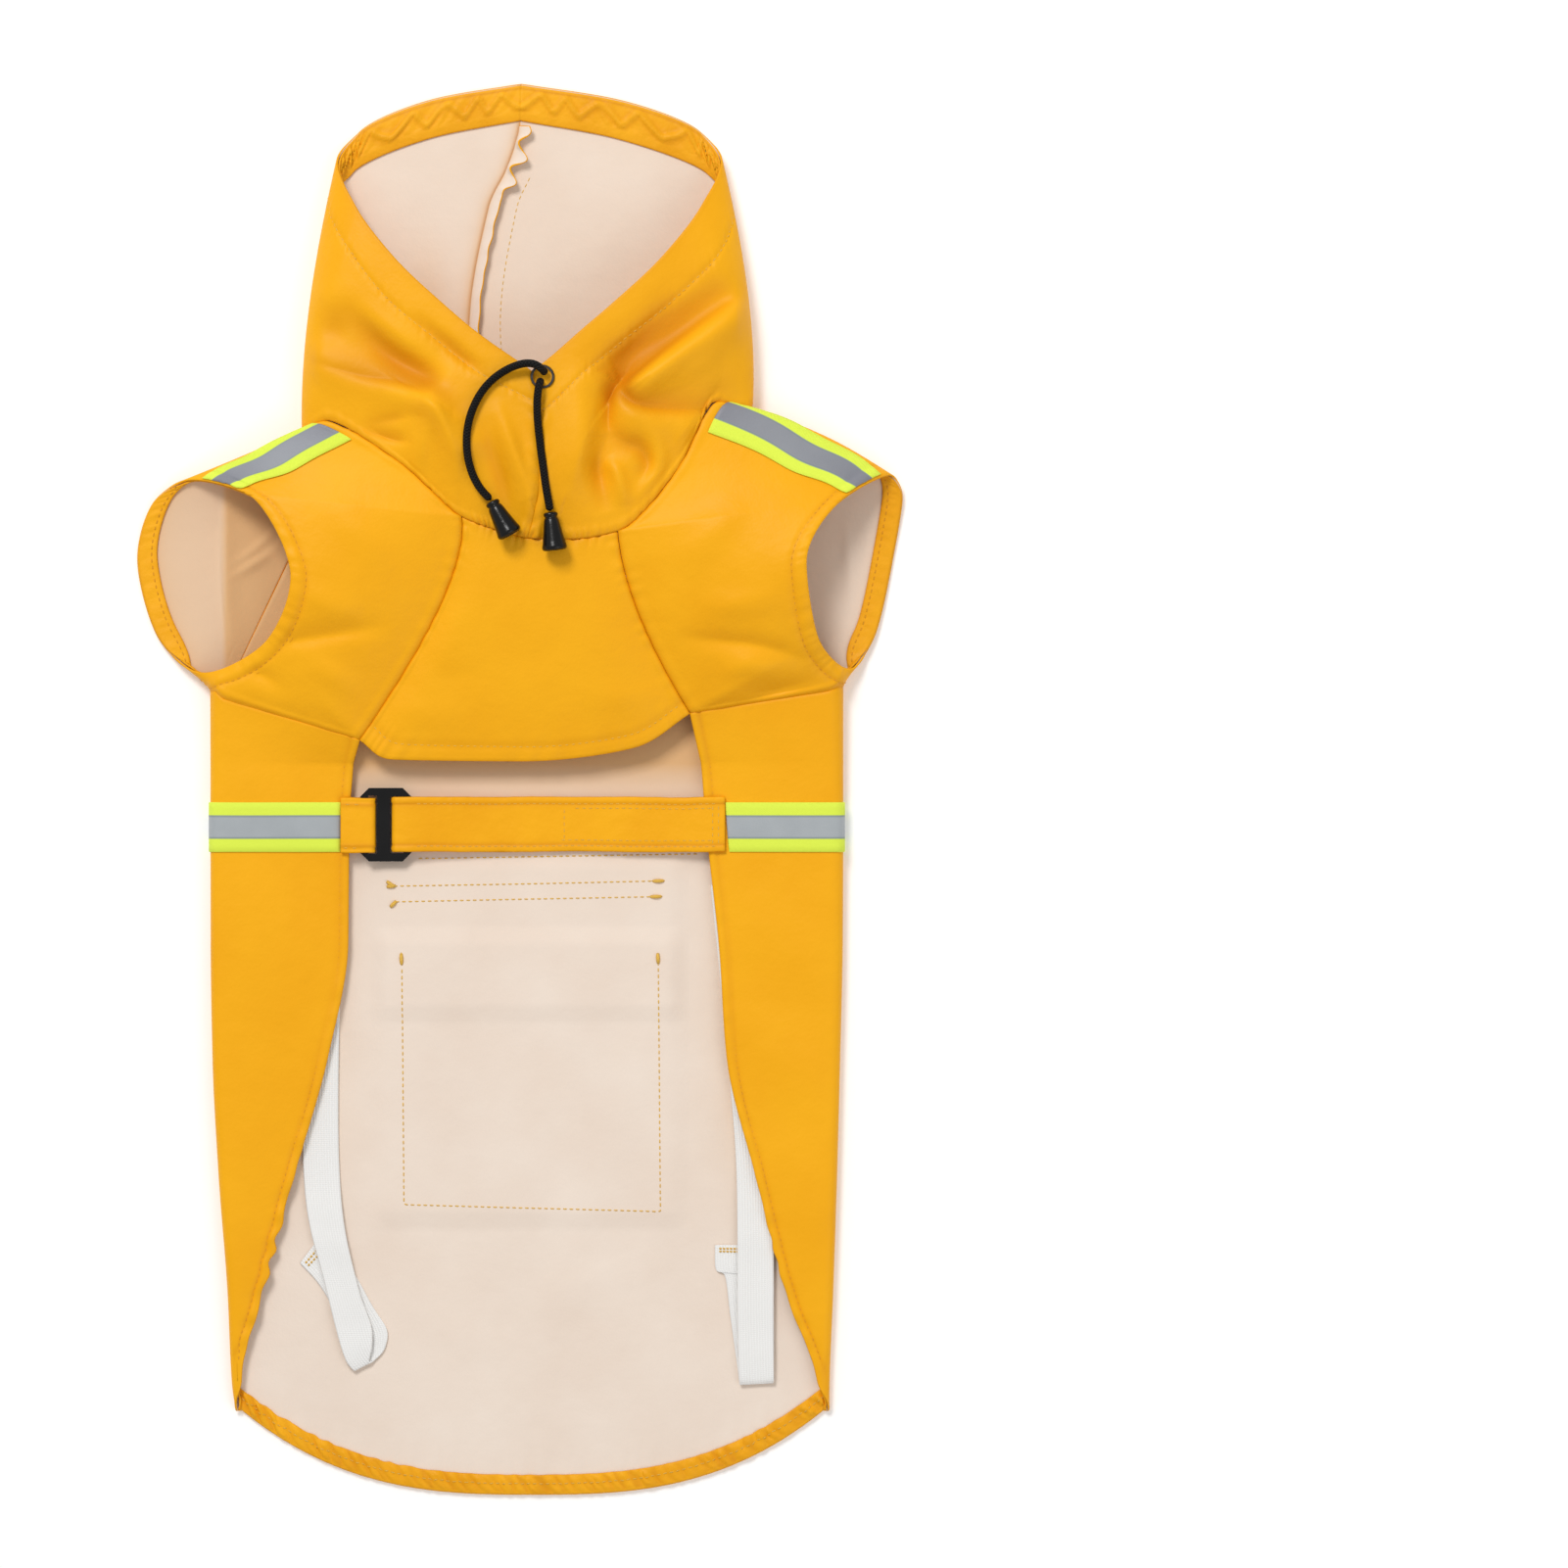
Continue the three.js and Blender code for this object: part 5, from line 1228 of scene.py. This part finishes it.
SLEEVE_CREASES = {
    "left": [
        ([(-118, 66, -0.2), (-98, 68.5, -1.6), (-76, 72, -1.4), (-58, 75, 0)], 5, 4, 1.6),
        ([(-132, 60, 0), (-118, 53, -1.3), (-108, 46, -0.4)], 4, 4, 1.7),
        ([(-100, 92, 0), (-86, 84, 1.0), (-70, 80, 0)], 6, 6, 2.0),
        ([(-88, 132, 0), (-72, 116, 1.0), (-58, 96, 0)], 8, 8, 2.0),
        ([(-100, 60, 0), (-84, 52, 1.0), (-74, 40, 0)], 5, 6, 2.0),
    ],
    "right": [
        ([(72, 70, 0), (90, 68, -1.6), (106, 66.5, -1.9), (120, 63, -1.4), (134, 58, 0)], 4, 5, 1.6),
        ([(104, 44, 0), (118, 46, -1.2), (136, 50, -0.3)], 4, 4, 1.7),
        ([(80, 84, 0), (100, 84, 1.1), (124, 88, 0)], 6, 6, 2.0),
        ([(104, 134, 0), (88, 116, 1.1), (72, 100, 0)], 8, 8, 2.0),
        ([(92, 52, 0), (104, 56, 1.0), (120, 54, 0)], 5, 5, 2.0),
    ],
}
CUFF_STITCH = 6.9
CUFF_FOLDS = {
    "left": [
        ([(-135, 136, 0.5), (-135.6, 118, 2.0), (-135.2, 92, 2.2), (-133, 64, 0.6)], 5, 1.3, 1.6),
        ([(-110, 112, 0), (-122, 104, 1.4), (-132, 98, 0.4)], 2.6, 1.4, 1.6),
        ([(-108, 124, 0), (-120, 112, 1.0), (-131, 104, 0.3)], 2.6, 1.4, 1.6),
    ],
    "right": [
        ([(150, 128, 0), (151, 104, 0.9), (153, 76, 0)], 4, 3, 1.7),
    ],
}


def sleeve_length(side, place):
    """Straight distance from the armhole to the cuff."""
    wrapped = np.mod(place, 8)
    return np.linalg.norm(armhole(side, wrapped) - cuff_curves[side](wrapped), axis=-1)


def sleeve_middle(side, place, s):
    """The sleeve with its creases, the ridge beside its seam, and the groove and puckers of its cuff's hem.
    They move the cloth up where it faces up."""
    place, s = np.broadcast_arrays(np.asarray(place, float), np.asarray(s, float))
    point = sleeve_surface(side, place, s)
    length = sleeve_length(side, place)
    from_seam, from_cuff = s * length, (1 - s) * length
    on_front = ramp(point[..., 2], 9, 5)
    along = CUFF_STEP * np.mod(place, 8)
    relief = crease_relief(point[..., 0], point[..., 1], SLEEVE_CREASES[side])
    relief *= 1.45 * np.clip(np.minimum(from_seam, from_cuff - 4) / 6, 0, 1)
    relief += 0.5 * swell(from_seam, 1.9, 2.6) - 0.4 * swell(from_seam, 1.2)
    relief += 0.35 * wander(along, 9.0, 2.0) * swell(from_seam, 6)
    relief += 0.5 * swell(from_cuff, 2.6, 3.2)
    relief -= 0.6 * swell(from_cuff, 1.2, CUFF_STITCH)
    relief += 0.3 * wander(along, 7.0, 1.0) * swell(from_cuff, 8)
    on_floor = np.clip((9 - point[..., 2]) / 3, 0, 1) * ((np.mod(place, 8) > 4.3) & (np.mod(place, 8) < 7.9))
    inside = crease_relief(point[..., 0], point[..., 1], CUFF_FOLDS[side]) * np.clip(from_cuff / 6 - 1.2, 0, 1)
    point[..., 2] += on_front * relief + on_floor * np.maximum(inside, -0.2)
    return point


sleeve_places = np.linspace(0, 8, 232, endpoint=False)
for side, outside in SIGN.items():
    p, s = np.meshgrid(sleeve_places, np.linspace(0.006, 1, 60))
    near_neck = (p > 5.9) | (p < 0.3)
    sleeve_grid = sleeve_middle(side, p, np.where(near_neck, 0.012 + 0.988 * s, s))
    length = sleeve_length(side, p)
    # Painted shade along the seam to the body and the cuff's row of stitches.
    painted_shade = falloff(s * length, 1.2) + 0.8 * falloff(np.abs((1 - s) * length - CUFF_STITCH), 0.9)
    # Painted warm shade inside each sleeve: on the left more beyond the side fold, on the right towards the armhole,
    # and more by the cuff's turn-up.
    if side == "left":
        inner = 0.58 + 0.4 * np.clip((sleeve_grid[..., 0] + 137) / 3, 0, 1)
    else:
        inner = 0.06 + 0.2 * (1 - s)
    inner = inner + 0.15 * falloff(np.maximum((1 - s) * length - CUFF_TURN_UP, 0), 5)
    sleeve = cloth_wall(f"sleeve_{side}_cloth", sleeve_grid, CLOTH, coated, outside=outside, ring=True, seam=painted_shade,
                        inner_shade=inner)
    ps = np.linspace(0.1, 4.6, 420)
    points, normals = upright(lambda p, s: sleeve_middle(side, p, s), ps, 1 - CUFF_STITCH / sleeve_length(side, ps))
    stitches = thread_rows(f"sleeve_{side}_cuff_stitches", [on_face(points, normals)], deep_thread)

    start = 1 - np.minimum(0.7, CUFF_TURN_UP / sleeve_length(side, sleeve_places))
    shares = np.linspace(0, 1, 12)[:, None]
    s = start + (0.995 - start) * shares
    middle = sleeve_surface(side, np.broadcast_to(sleeve_places, s.shape), s)
    pucker = 0.3 * np.clip(wander(CUFF_STEP * sleeve_places, 8.0), -0.3, 1) * np.sin(np.pi * shares)
    lift = CLOTH / 2 + 0.4 + TURN_UP / 2 + pucker
    normals = surface_normals(middle, ring=True) * outside
    middle = middle - normals * lift[..., None]
    # Painted shade along both edges of the turn-up.
    painted_shade = 0.6 * falloff(shares, 0.07) + 0.5 * falloff(1 - shares, 0.06) + 0 * s
    turn_up = cloth_wall(f"cuff_turn_up_{side}_cloth", middle, TURN_UP, [turned_in] * 3, ring=True, seam=painted_shade)
    back = (sleeve_places > 4.3) & (sleeve_places < 7.9)
    inner_row = (middle[3][back] - normals[3][back] * TURN_UP / 2, -normals[3][back])
    inner_stitches = thread_rows(f"cuff_turn_up_{side}_stitches", [inner_row], deep_thread, width=0.5)
    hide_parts(f"cuff_turn_up_{side}")
    lay(f"sleeve_{side}")

# Reflective tape
# Woven warning tape, 22 mm wide: a silver strip of glass beads between two margins of fluorescent cloth. One
# length goes round the body and another along the top of each sleeve.
TAPE = 0.6
TAPE_WIDTH = 22
SLEEVE_TAPE_FROM = 1.5


def reflective_tape_material():
    """Fluorescent weave with the silver strip between 6 and 16.3 mm of the tape's width, and a thin blue-grey
    line along each edge of the strip. Painted shade darkens the silver where the seam attribute is set, and the
    weave between its threads."""
    material, tree, shader = new_material("reflective_tape", (0.7, 0.95, 0.04), 0.5)
    uv, across, along = cut_map(tree)
    from_middle = maths(tree, "ABSOLUTE", maths(tree, "SUBTRACT", across, 0.0111))
    strip = remap(tree, from_middle, 0.0050, 0.0053, 1.0, 0.0)
    from_line = maths(tree, "ABSOLUTE", maths(tree, "SUBTRACT", from_middle, 0.0050))
    line = remap(tree, from_line, 0.0003, 0.0006, 1.0, 0.0)
    beads = add_node(tree, "ShaderNodeTexVoronoi", Vector=uv, Scale=2600.0).outputs[0]
    threads = maths(tree, "MULTIPLY", ripple(tree, along, 0.0007), ripple(tree, across, 0.0008))
    weave = maths(tree, "MULTIPLY", threads, maths(tree, "SUBTRACT", 1.0, strip))
    clouds = add_node(tree, "ShaderNodeTexNoise", Vector=uv, Scale=60.0, Detail=3.0).outputs[0]
    silver = blend(tree, clouds, (0.36, 0.39, 0.41), (0.46, 0.49, 0.51))
    # Painted shade on the silver, from the seam attribute.
    silver = blend(tree, point_value(tree, "seam"), silver, (0.17, 0.165, 0.205))
    # Painted shade: the margins are darker where the weave's height is low.
    margin = blend(tree, remap(tree, weave, -1.0, 1.0), (0.72, 0.90, 0.06), (0.86, 1.0, 0.10))
    both = blend(tree, strip, margin, silver)
    lined = blend(tree, maths(tree, "MULTIPLY", line, 0.75), both, (0.22, 0.27, 0.30))
    tree.links.new(lined, shader.inputs["Base Color"])
    tree.links.new(remap(tree, strip, 0.0, 1.0, 0.6, 0.45), shader.inputs["Roughness"])
    tree.links.new(maths(tree, "MULTIPLY", strip, 0.08), shader.inputs["Metallic"])
    shader.inputs["Specular IOR Level"].default_value = 0.25
    height = maths(tree, "ADD", maths(tree, "MULTIPLY", weave, 0.5),
                   maths(tree, "MULTIPLY", maths(tree, "MULTIPLY", beads, strip), 0.5))
    add_bump(tree, shader, height, 0.00012)
    return material


def place_down(side, s, distances):
    """The places round a sleeve at distances from its top line, by the running length of a fine row."""
    places = np.linspace(0, 3, 400)
    row = sleeve_surface(side, places, s)
    return np.interp(distances, run_length(row), places)


tape_material = reflective_tape_material()
middle_level = (TAPE_BAND["low"] + TAPE_BAND["high"]) / 2


def flap_column(outwards, x, level):
    """The body's u where a flap is at x."""
    start, end = (float(wrap_point(outwards, np.array(share), level)[0]) for share in (0.5, 1.0))
    return outwards * (1.5 + 0.5 * ramp(x, start, end - start))


tape_start = flap_column(-1, TAPE_BAND["left_end"], middle_level)
tape_end = flap_column(1, TAPE_BAND["right_end"], middle_level)
inner_us = body_us[(body_us > tape_start + 0.004) & (body_us < tape_end - 0.004)]
v, u = np.meshgrid(np.linspace(TAPE_BAND["high"], TAPE_BAND["low"], 9), [tape_start, *inner_us, tape_end])
middle = body_middle(u, v)
middle = middle - surface_normals(middle) * (CLOTH / 2 + 0.2 + TAPE / 2)
body_tape = cloth_wall("body_tape_cloth", middle, TAPE, [tape_material] * 3)
lay("body_tape")

for side, outwards in SIGN.items():
    levels = np.linspace(0.07, 0.985, 40)
    downs = SLEEVE_TAPE_FROM + np.linspace(0, TAPE_WIDTH, 12)
    shift = 2.6 * np.sin(np.pi / 2 * np.minimum(1.6 * levels, 1)) + 1.0 * wander(58 * levels, 34.0, 2.5)
    places = np.stack([place_down(side, level, downs + down) for level, down in zip(levels, shift)])
    middle = sleeve_middle(side, places, levels[:, None])
    middle = middle + surface_normals(middle) * outwards * (CLOTH / 2 + 0.35 + TAPE / 2)
    # Painted shade on the sleeves' silver, strongest towards the ends of each tape.
    tape_shade = 0.75 - 0.25 * np.sin(np.pi * levels)[:, None] + 0 * middle[..., 0]
    tape = cloth_wall(f"sleeve_tape_{side}_cloth", middle, TAPE, [tape_material] * 3, seam=tape_shade)
    lay(f"sleeve_tape_{side}")

# Pocket
# A patch pocket and its flap on the outside of the back, so under the coat as it lies. The patch's upper edge
# climbs on to the flap's lower edge. Both are edge-stitched, and the flap has a sewn closing strip.
TRIM = 0.9


def flat_row(corners, height, count):
    """A row along straight lines between corners, on a level face that looks down."""
    x, y = between(corners, count)
    return np.stack([x, y, height + 0 * x], -1), np.tile(-UP, (count, 1))


def border(piece, inset, bottom, top):
    """The corners of a row at an inset from a pocket piece's edges."""
    left, right = piece["centre"] - piece["half_width"] + inset, piece["centre"] + piece["half_width"] - inset
    return [(left, top), (left, bottom + inset), (right, bottom + inset), (right, top)]


pocket_pieces = (
    ("pocket_patch", POCKET, [border(POCKET, 2.5, POCKET["low"], -97), border(POCKET, 8.0, POCKET["low"], -97)]),
    ("pocket_flap", POCKET_FLAP, [
        border(POCKET_FLAP, 2.5, POCKET_FLAP["low"], POCKET_FLAP["high"]),
        [(POCKET_FLAP["centre"] - 60, -43.7), (POCKET_FLAP["centre"] + 60, -43.7)],
        [(-34, -88), (-34, -68), (42, -68), (42, -88), (-34, -88)],
    ]),
)
for name, piece, rows in pocket_pieces:
    y = np.linspace(piece["low"], piece["high"], 70)
    climb = np.clip((y - (POCKET_FLAP["low"] - 8)) / 7, 0, 1) if name == "pocket_patch" else 0 * y
    x, y_grid = np.meshgrid(piece["centre"] + piece["half_width"] * np.linspace(-1, 1, 70), y)
    inset = np.minimum(np.minimum(x - x[0, 0], x[0, -1] - x), np.minimum(y_grid - y[0], y[-1] - y_grid))
    groove = 0.25 * swell(inset, 0.9, 2.5) + 0.12 * wander(x + y_grid, 9.0) * falloff(inset, 6)
    middle = np.stack([x, y_grid, (TRIM / 2 + 0.08 + LAYER * climb)[:, None] + np.maximum(groove, -0.05)], -1)
    # Painted shade along the edge-stitching's groove.
    patch = cloth_wall(f"{name}_cloth", middle, TRIM, [coated_outside] * 3, seam=0.7 * np.exp(-np.abs(inset - 2.5)))
    stitches = thread_rows(f"{name}_stitches", [flat_row(corners, 0.16, 400) for corners in rows], yellow_thread,
                           width=0.45)
    lay(name)

# Leash slit
# A buttonhole in the back panel, 23 mm long, just below the neck seam, through which a leash is led. Dense
# zigzag stitches bind both of its edges; those at its ends are left out.
SLIT = {"x": 4.7, "low": 52, "high": 75, "threads": 30}
slit_rows = [
    flat_row([(SLIT["x"] + side * 0.5, y), (SLIT["x"] + side * 2.3, y)], 0.12, 2)
    for side in (-1, 1) for y in np.linspace(SLIT["low"], SLIT["high"], SLIT["threads"])
]
thread_rows("leash_slit_binding", slit_rows, deep_thread, pitch=1.8, length=1.7, width=0.5)

# Belt
# Two strips of folded and edge-stitched coated cloth, 25 mm wide: a short tab sewn to the left flap, and a long
# strap sewn to the right flap, which turns round the slider's centre bar and lies back under itself.
BELT = {"centre": -16.0, "width": 25}
SLIDER_BOTTOM = 4.6
SLIDER_THICKNESS = 3
BAR_HEIGHT = SLIDER_BOTTOM + SLIDER_THICKNESS / 2
LOOP_RADIUS = 2.3
CENTRE_BAR = (-65.2, -59.2)
belt_material = cloth_material("yellow_belt_cloth", (0.955, 0.445, 0.006), (0.90, 0.395, 0.004), 0.5,
                               0.03, 0.008, 0.0011, 0.0006, seam_shade_share=0.7)


def turn_round(centre_x, start, end):
    """Half a circle of the loop's radius round a bar, as points in x and z."""
    angle = np.linspace(start, end, 13)
    return [(centre_x + LOOP_RADIUS * np.cos(a), BAR_HEIGHT + LOOP_RADIUS * np.sin(a)) for a in angle]


STRIP_POINTS = 36
STRIP_SPACING = 0.9


def strip_along(path, centre_y, width):
    """A strip over a path in x and z, evenly spaced. Its width and its line wander slightly."""
    path = np.array(path, float)
    dense = through_points(path, 30 * len(path))
    lengths = run_length(dense)
    at = np.linspace(0, lengths[-1], int(lengths[-1] / STRIP_SPACING) + 2)
    even = np.stack([np.interp(at, lengths, dense[:, k]) for k in (0, 1)], -1)
    share = np.linspace(-0.5, 0.5, STRIP_POINTS)[:, None]
    wide = width - 0.5 + 0.25 * wander(at, 37.0) + 0.12 * wander(at, 11.0, 2.0)
    points = np.zeros((STRIP_POINTS, len(even), 3))
    points[..., 0] = even[None, :, 0]
    points[..., 1] = centre_y + share * wide + 0.25 * wander(at, 61.0, 1.0)
    points[..., 2] = even[None, :, 1]
    return points


def belt_relief(middle, facing):
    """Moves a strip's points along its normals: a ridge 1.5 mm in from each edge, a groove at 2.9 mm where it
    is stitched, and puckers. Also gives each point's distance from the nearer edge."""
    width = np.linalg.norm(np.diff(middle, axis=0), axis=-1).sum(0)[None]
    inset = np.minimum(np.linspace(0, 1, len(middle)), np.linspace(1, 0, len(middle)))[:, None] * width
    along = run_length(middle[0])[None]
    relief = 0.3 * swell(inset, 1.1, 1.5) - 0.22 * swell(inset, 0.6, 2.9)
    relief = relief + 0.14 * wander(along, 6.5) * falloff(inset, 4)
    return middle + surface_normals(middle) * (facing * relief)[..., None], inset


def belt_row(middle, share, start, end, stand):
    """A row of stitches along a strip at a share of its width, over part of its length."""
    row = int(share * (len(middle) - 1))
    line, normals = middle[row], surface_normals(middle)[row]
    run = run_length(line)
    keep = (run >= start) & (run <= end)
    return line[keep] + normals[keep] * stand, normals[keep] * np.sign(stand)


def belt_cross_row(middle, distance, low, high, stand):
    """A row of stitches across a strip, at a distance along it, between two shares of its width."""
    column = int(np.argmin(np.abs(run_length(middle[0]) - distance)))
    rows = slice(int(low * (len(middle) - 1)), int(high * (len(middle) - 1)) + 1)
    normals = surface_normals(middle)[rows, column]
    return middle[rows, column] + normals * stand, normals * np.sign(stand)


tab_turn = CENTRE_BAR[0] - 0.6 - TRIM / 2 - LOOP_RADIUS
tab_path = [(-81.5, 7.8), (-78.4, 7.9), (-76.2, 6.7), (-74.7, 3.8), *turn_round(tab_turn, -np.pi / 2, np.pi / 2),
            (-74.6, 8.9), (-78.4, 8.9), (-81.5, 8.9)]
strap_turn = CENTRE_BAR[1] + 0.6 + TRIM / 2 + LOOP_RADIUS
strap_path = [(94, 8), (86, 8), (78, 7), (64, 5.6), (30, 4.9), (0, 4.9), (-20, 5.6), (-38, 7.4), (-48, 8.3),
              *turn_round(strap_turn, np.pi / 2, 3 * np.pi / 2), (-48, 3.8), (-30, 3.1), (14, 3.1)]
face = TRIM / 2

tab_middle, inset = belt_relief(strip_along(tab_path, BELT["centre"] - 0.3, BELT["width"]), 1)
# Painted shade along the stitched grooves.
belt_tab = cloth_wall("belt_tab_cloth", tab_middle, TRIM, [belt_material] * 3,
                      seam=0.8 * falloff(np.abs(inset - 2.9), 0.7))
tab_length = run_length(tab_middle[0])[-1]
up = 1 if surface_normals(tab_middle)[10, -2, 2] > 0 else -1
tab_rows = [belt_row(tab_middle, share, tab_length - 9, tab_length, up * face) for share in (0.11, 0.89)]
tab_stitches = thread_rows("belt_tab_stitches", tab_rows, yellow_thread, pitch=2.9, length=2.0)
lay("belt_tab")

strap_middle, inset = belt_relief(strip_along(strap_path, BELT["centre"], BELT["width"]), -1)
up = 1 if surface_normals(strap_middle)[10, 10, 2] > 0 else -1
# Painted shade along the stitched grooves.
belt_strap = cloth_wall("belt_strap_cloth", strap_middle, TRIM, [belt_material] * 3,
                        seam=0.8 * falloff(np.abs(inset - 2.9), 0.7))
strap_rows = [belt_row(strap_middle, share, 3, 142, up * face) for share in (0.11, 0.89)]
strap_rows += [belt_row(strap_middle, 0.2, 5, 76, up * face), belt_row(strap_middle, 0.8, 5, 70, up * face)]
strap_rows += [belt_cross_row(strap_middle, distance, 0.12, 0.88, up * face) for distance in (3.0, 5.2)]
strap_rows += [belt_cross_row(strap_middle, 74, 0.2, 0.8, up * face)]
strap_stitches = thread_rows("belt_strap_stitches", strap_rows, yellow_thread, pitch=2.9, length=2.0)
lay("belt_strap")

# Slider
# A moulded black plastic slider with three bars. The belt's two strips turn round its bars.
slider_form = bpy.data.objects.new("belt_slider_form", bpy.data.objects["belt_slider"].data.copy())
bpy.context.scene.collection.objects.link(slider_form)
slider_form.data.materials.clear()
slider_form.data.materials.append(plastic_material)
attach(slider_form, "root")
rounding = slider_form.modifiers.new("rounding", "BEVEL")
rounding.width = 0.0009
rounding.segments = 3
rounding.angle_limit = 0.5
slider_form.data.shade_smooth()
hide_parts("belt_slider")

# Leg elastics
# Two bands of white ribbed elastic, 16 mm wide, sewn inside the back panel at the waist and again near the hem.
# Each lies out in a loop, and a dog's hind leg goes through it.
ELASTIC_EDGES = {
    # one edge (x, y), the other edge (x, y) and the height: down the upper band, round its end, and back under it
    "left": [
        (-96.7, -45, -80.7, -45, 2.1), (-98.6, -87, -82.6, -87, 2.1), (-99.6, -132, -83.6, -132.5, 2.1),
        (-99.2, -171.5, -83.2, -172.5, 2.2), (-96.3, -198.5, -80.5, -201.5, 3.7), (-89.2, -226, -73.8, -230, 4.1),
        (-83.2, -250, -68.3, -246.5, 4.3), (-79.5, -261.5, -68.0, -256, 4.2), (-76.2, -266.3, -69.2, -262.8, 3.3),
        (-76.0, -265.6, -64.5, -260, 2.3), (-76.2, -262.5, -61.8, -255.5, 2.1), (-77, -254, -61.4, -248, 2.1),
        (-83.5, -241, -67.8, -237.5, 2.1), (-92, -227, -78, -220, 2.1), (-100.5, -217.5, -91.5, -205.5, 2.1),
    ],
    "right": [
        (88.0, -44.2, 103.8, -45.8, 2.1), (94.6, -109.5, 110.6, -110.5, 2.1), (99.3, -164.5, 115.2, -165.5, 2.2),
        (100.3, -205, 116.3, -205, 3.7), (100.3, -238, 116.3, -238, 4.1), (100.9, -266, 116.3, -266, 4.2),
        (101.2, -272.6, 116.3, -271.8, 3.3), (101.0, -271, 115.8, -270.6, 2.3), (99.8, -262, 115.5, -262.6, 2.1),
        (97.0, -242, 113, -243, 2.1), (94.6, -224, 110.5, -225.5, 2.1), (90.4, -220.4, 106, -221.6, 2.1),
        (89.9, -209.5, 105.6, -209.5, 2.1),
    ],
}


def ribbed_elastic_material():
    """Lengthwise ribs and finer cross threads, from the sines of both cut distances, with painted shade in their
    grooves.
    """
    material, tree, shader = new_material("white_ribbed_elastic", (0.9, 0.89, 0.87), 0.75)
    _, across, along = cut_map(tree)
    threads = maths(tree, "MULTIPLY", ripple(tree, across, 0.0009), 0.4)
    height = maths(tree, "ADD", ripple(tree, along, 0.00125), threads)
    add_bump(tree, shader, height, 0.00007)
    # Painted shade: the colour is darker where the ribs' height is low.
    tone = blend(tree, remap(tree, height, -1.2, 1.0), (0.86, 0.85, 0.83), (0.92, 0.912, 0.895))
    tree.links.new(tone, shader.inputs["Base Color"])
    shader.inputs["Sheen Weight"].default_value = 0.15
    return material


elastic_material = ribbed_elastic_material()
for side, edges in ELASTIC_EDGES.items():
    edges = through_points(edges, 440)
    shares = np.linspace(-0.5, 0.5, 24)[:, None, None]
    middle = edges[None, :, 0:2] * (0.5 - shares) + edges[None, :, 2:4] * (0.5 + shares)
    raised = ramp(edges[:, 4], 2.6, 1.5)
    along = run_length(edges[:, :2])
    cupped = 0.45 * raised * (1 - np.cos(2 * np.pi * shares[..., 0])) / 2 + 0.15 * raised * wander(along, 23.0)
    middle = np.concatenate([middle, (edges[:, 4] + cupped)[..., None]], -1)
    elastic = cloth_wall(f"leg_elastic_{side}_band", middle, TRIM, [elastic_material] * 3)
    end = middle[:, [-9, -5]]
    rows = [(end[2:-2, k] + UP * TRIM / 2, np.tile(UP, (len(end) - 4, 1))) for k in (0, 1)]
    tack = thread_rows(f"leg_elastic_{side}_tack", rows, yellow_thread, pitch=1.6, length=1.4, width=0.8)
    lay(f"leg_elastic_{side}")
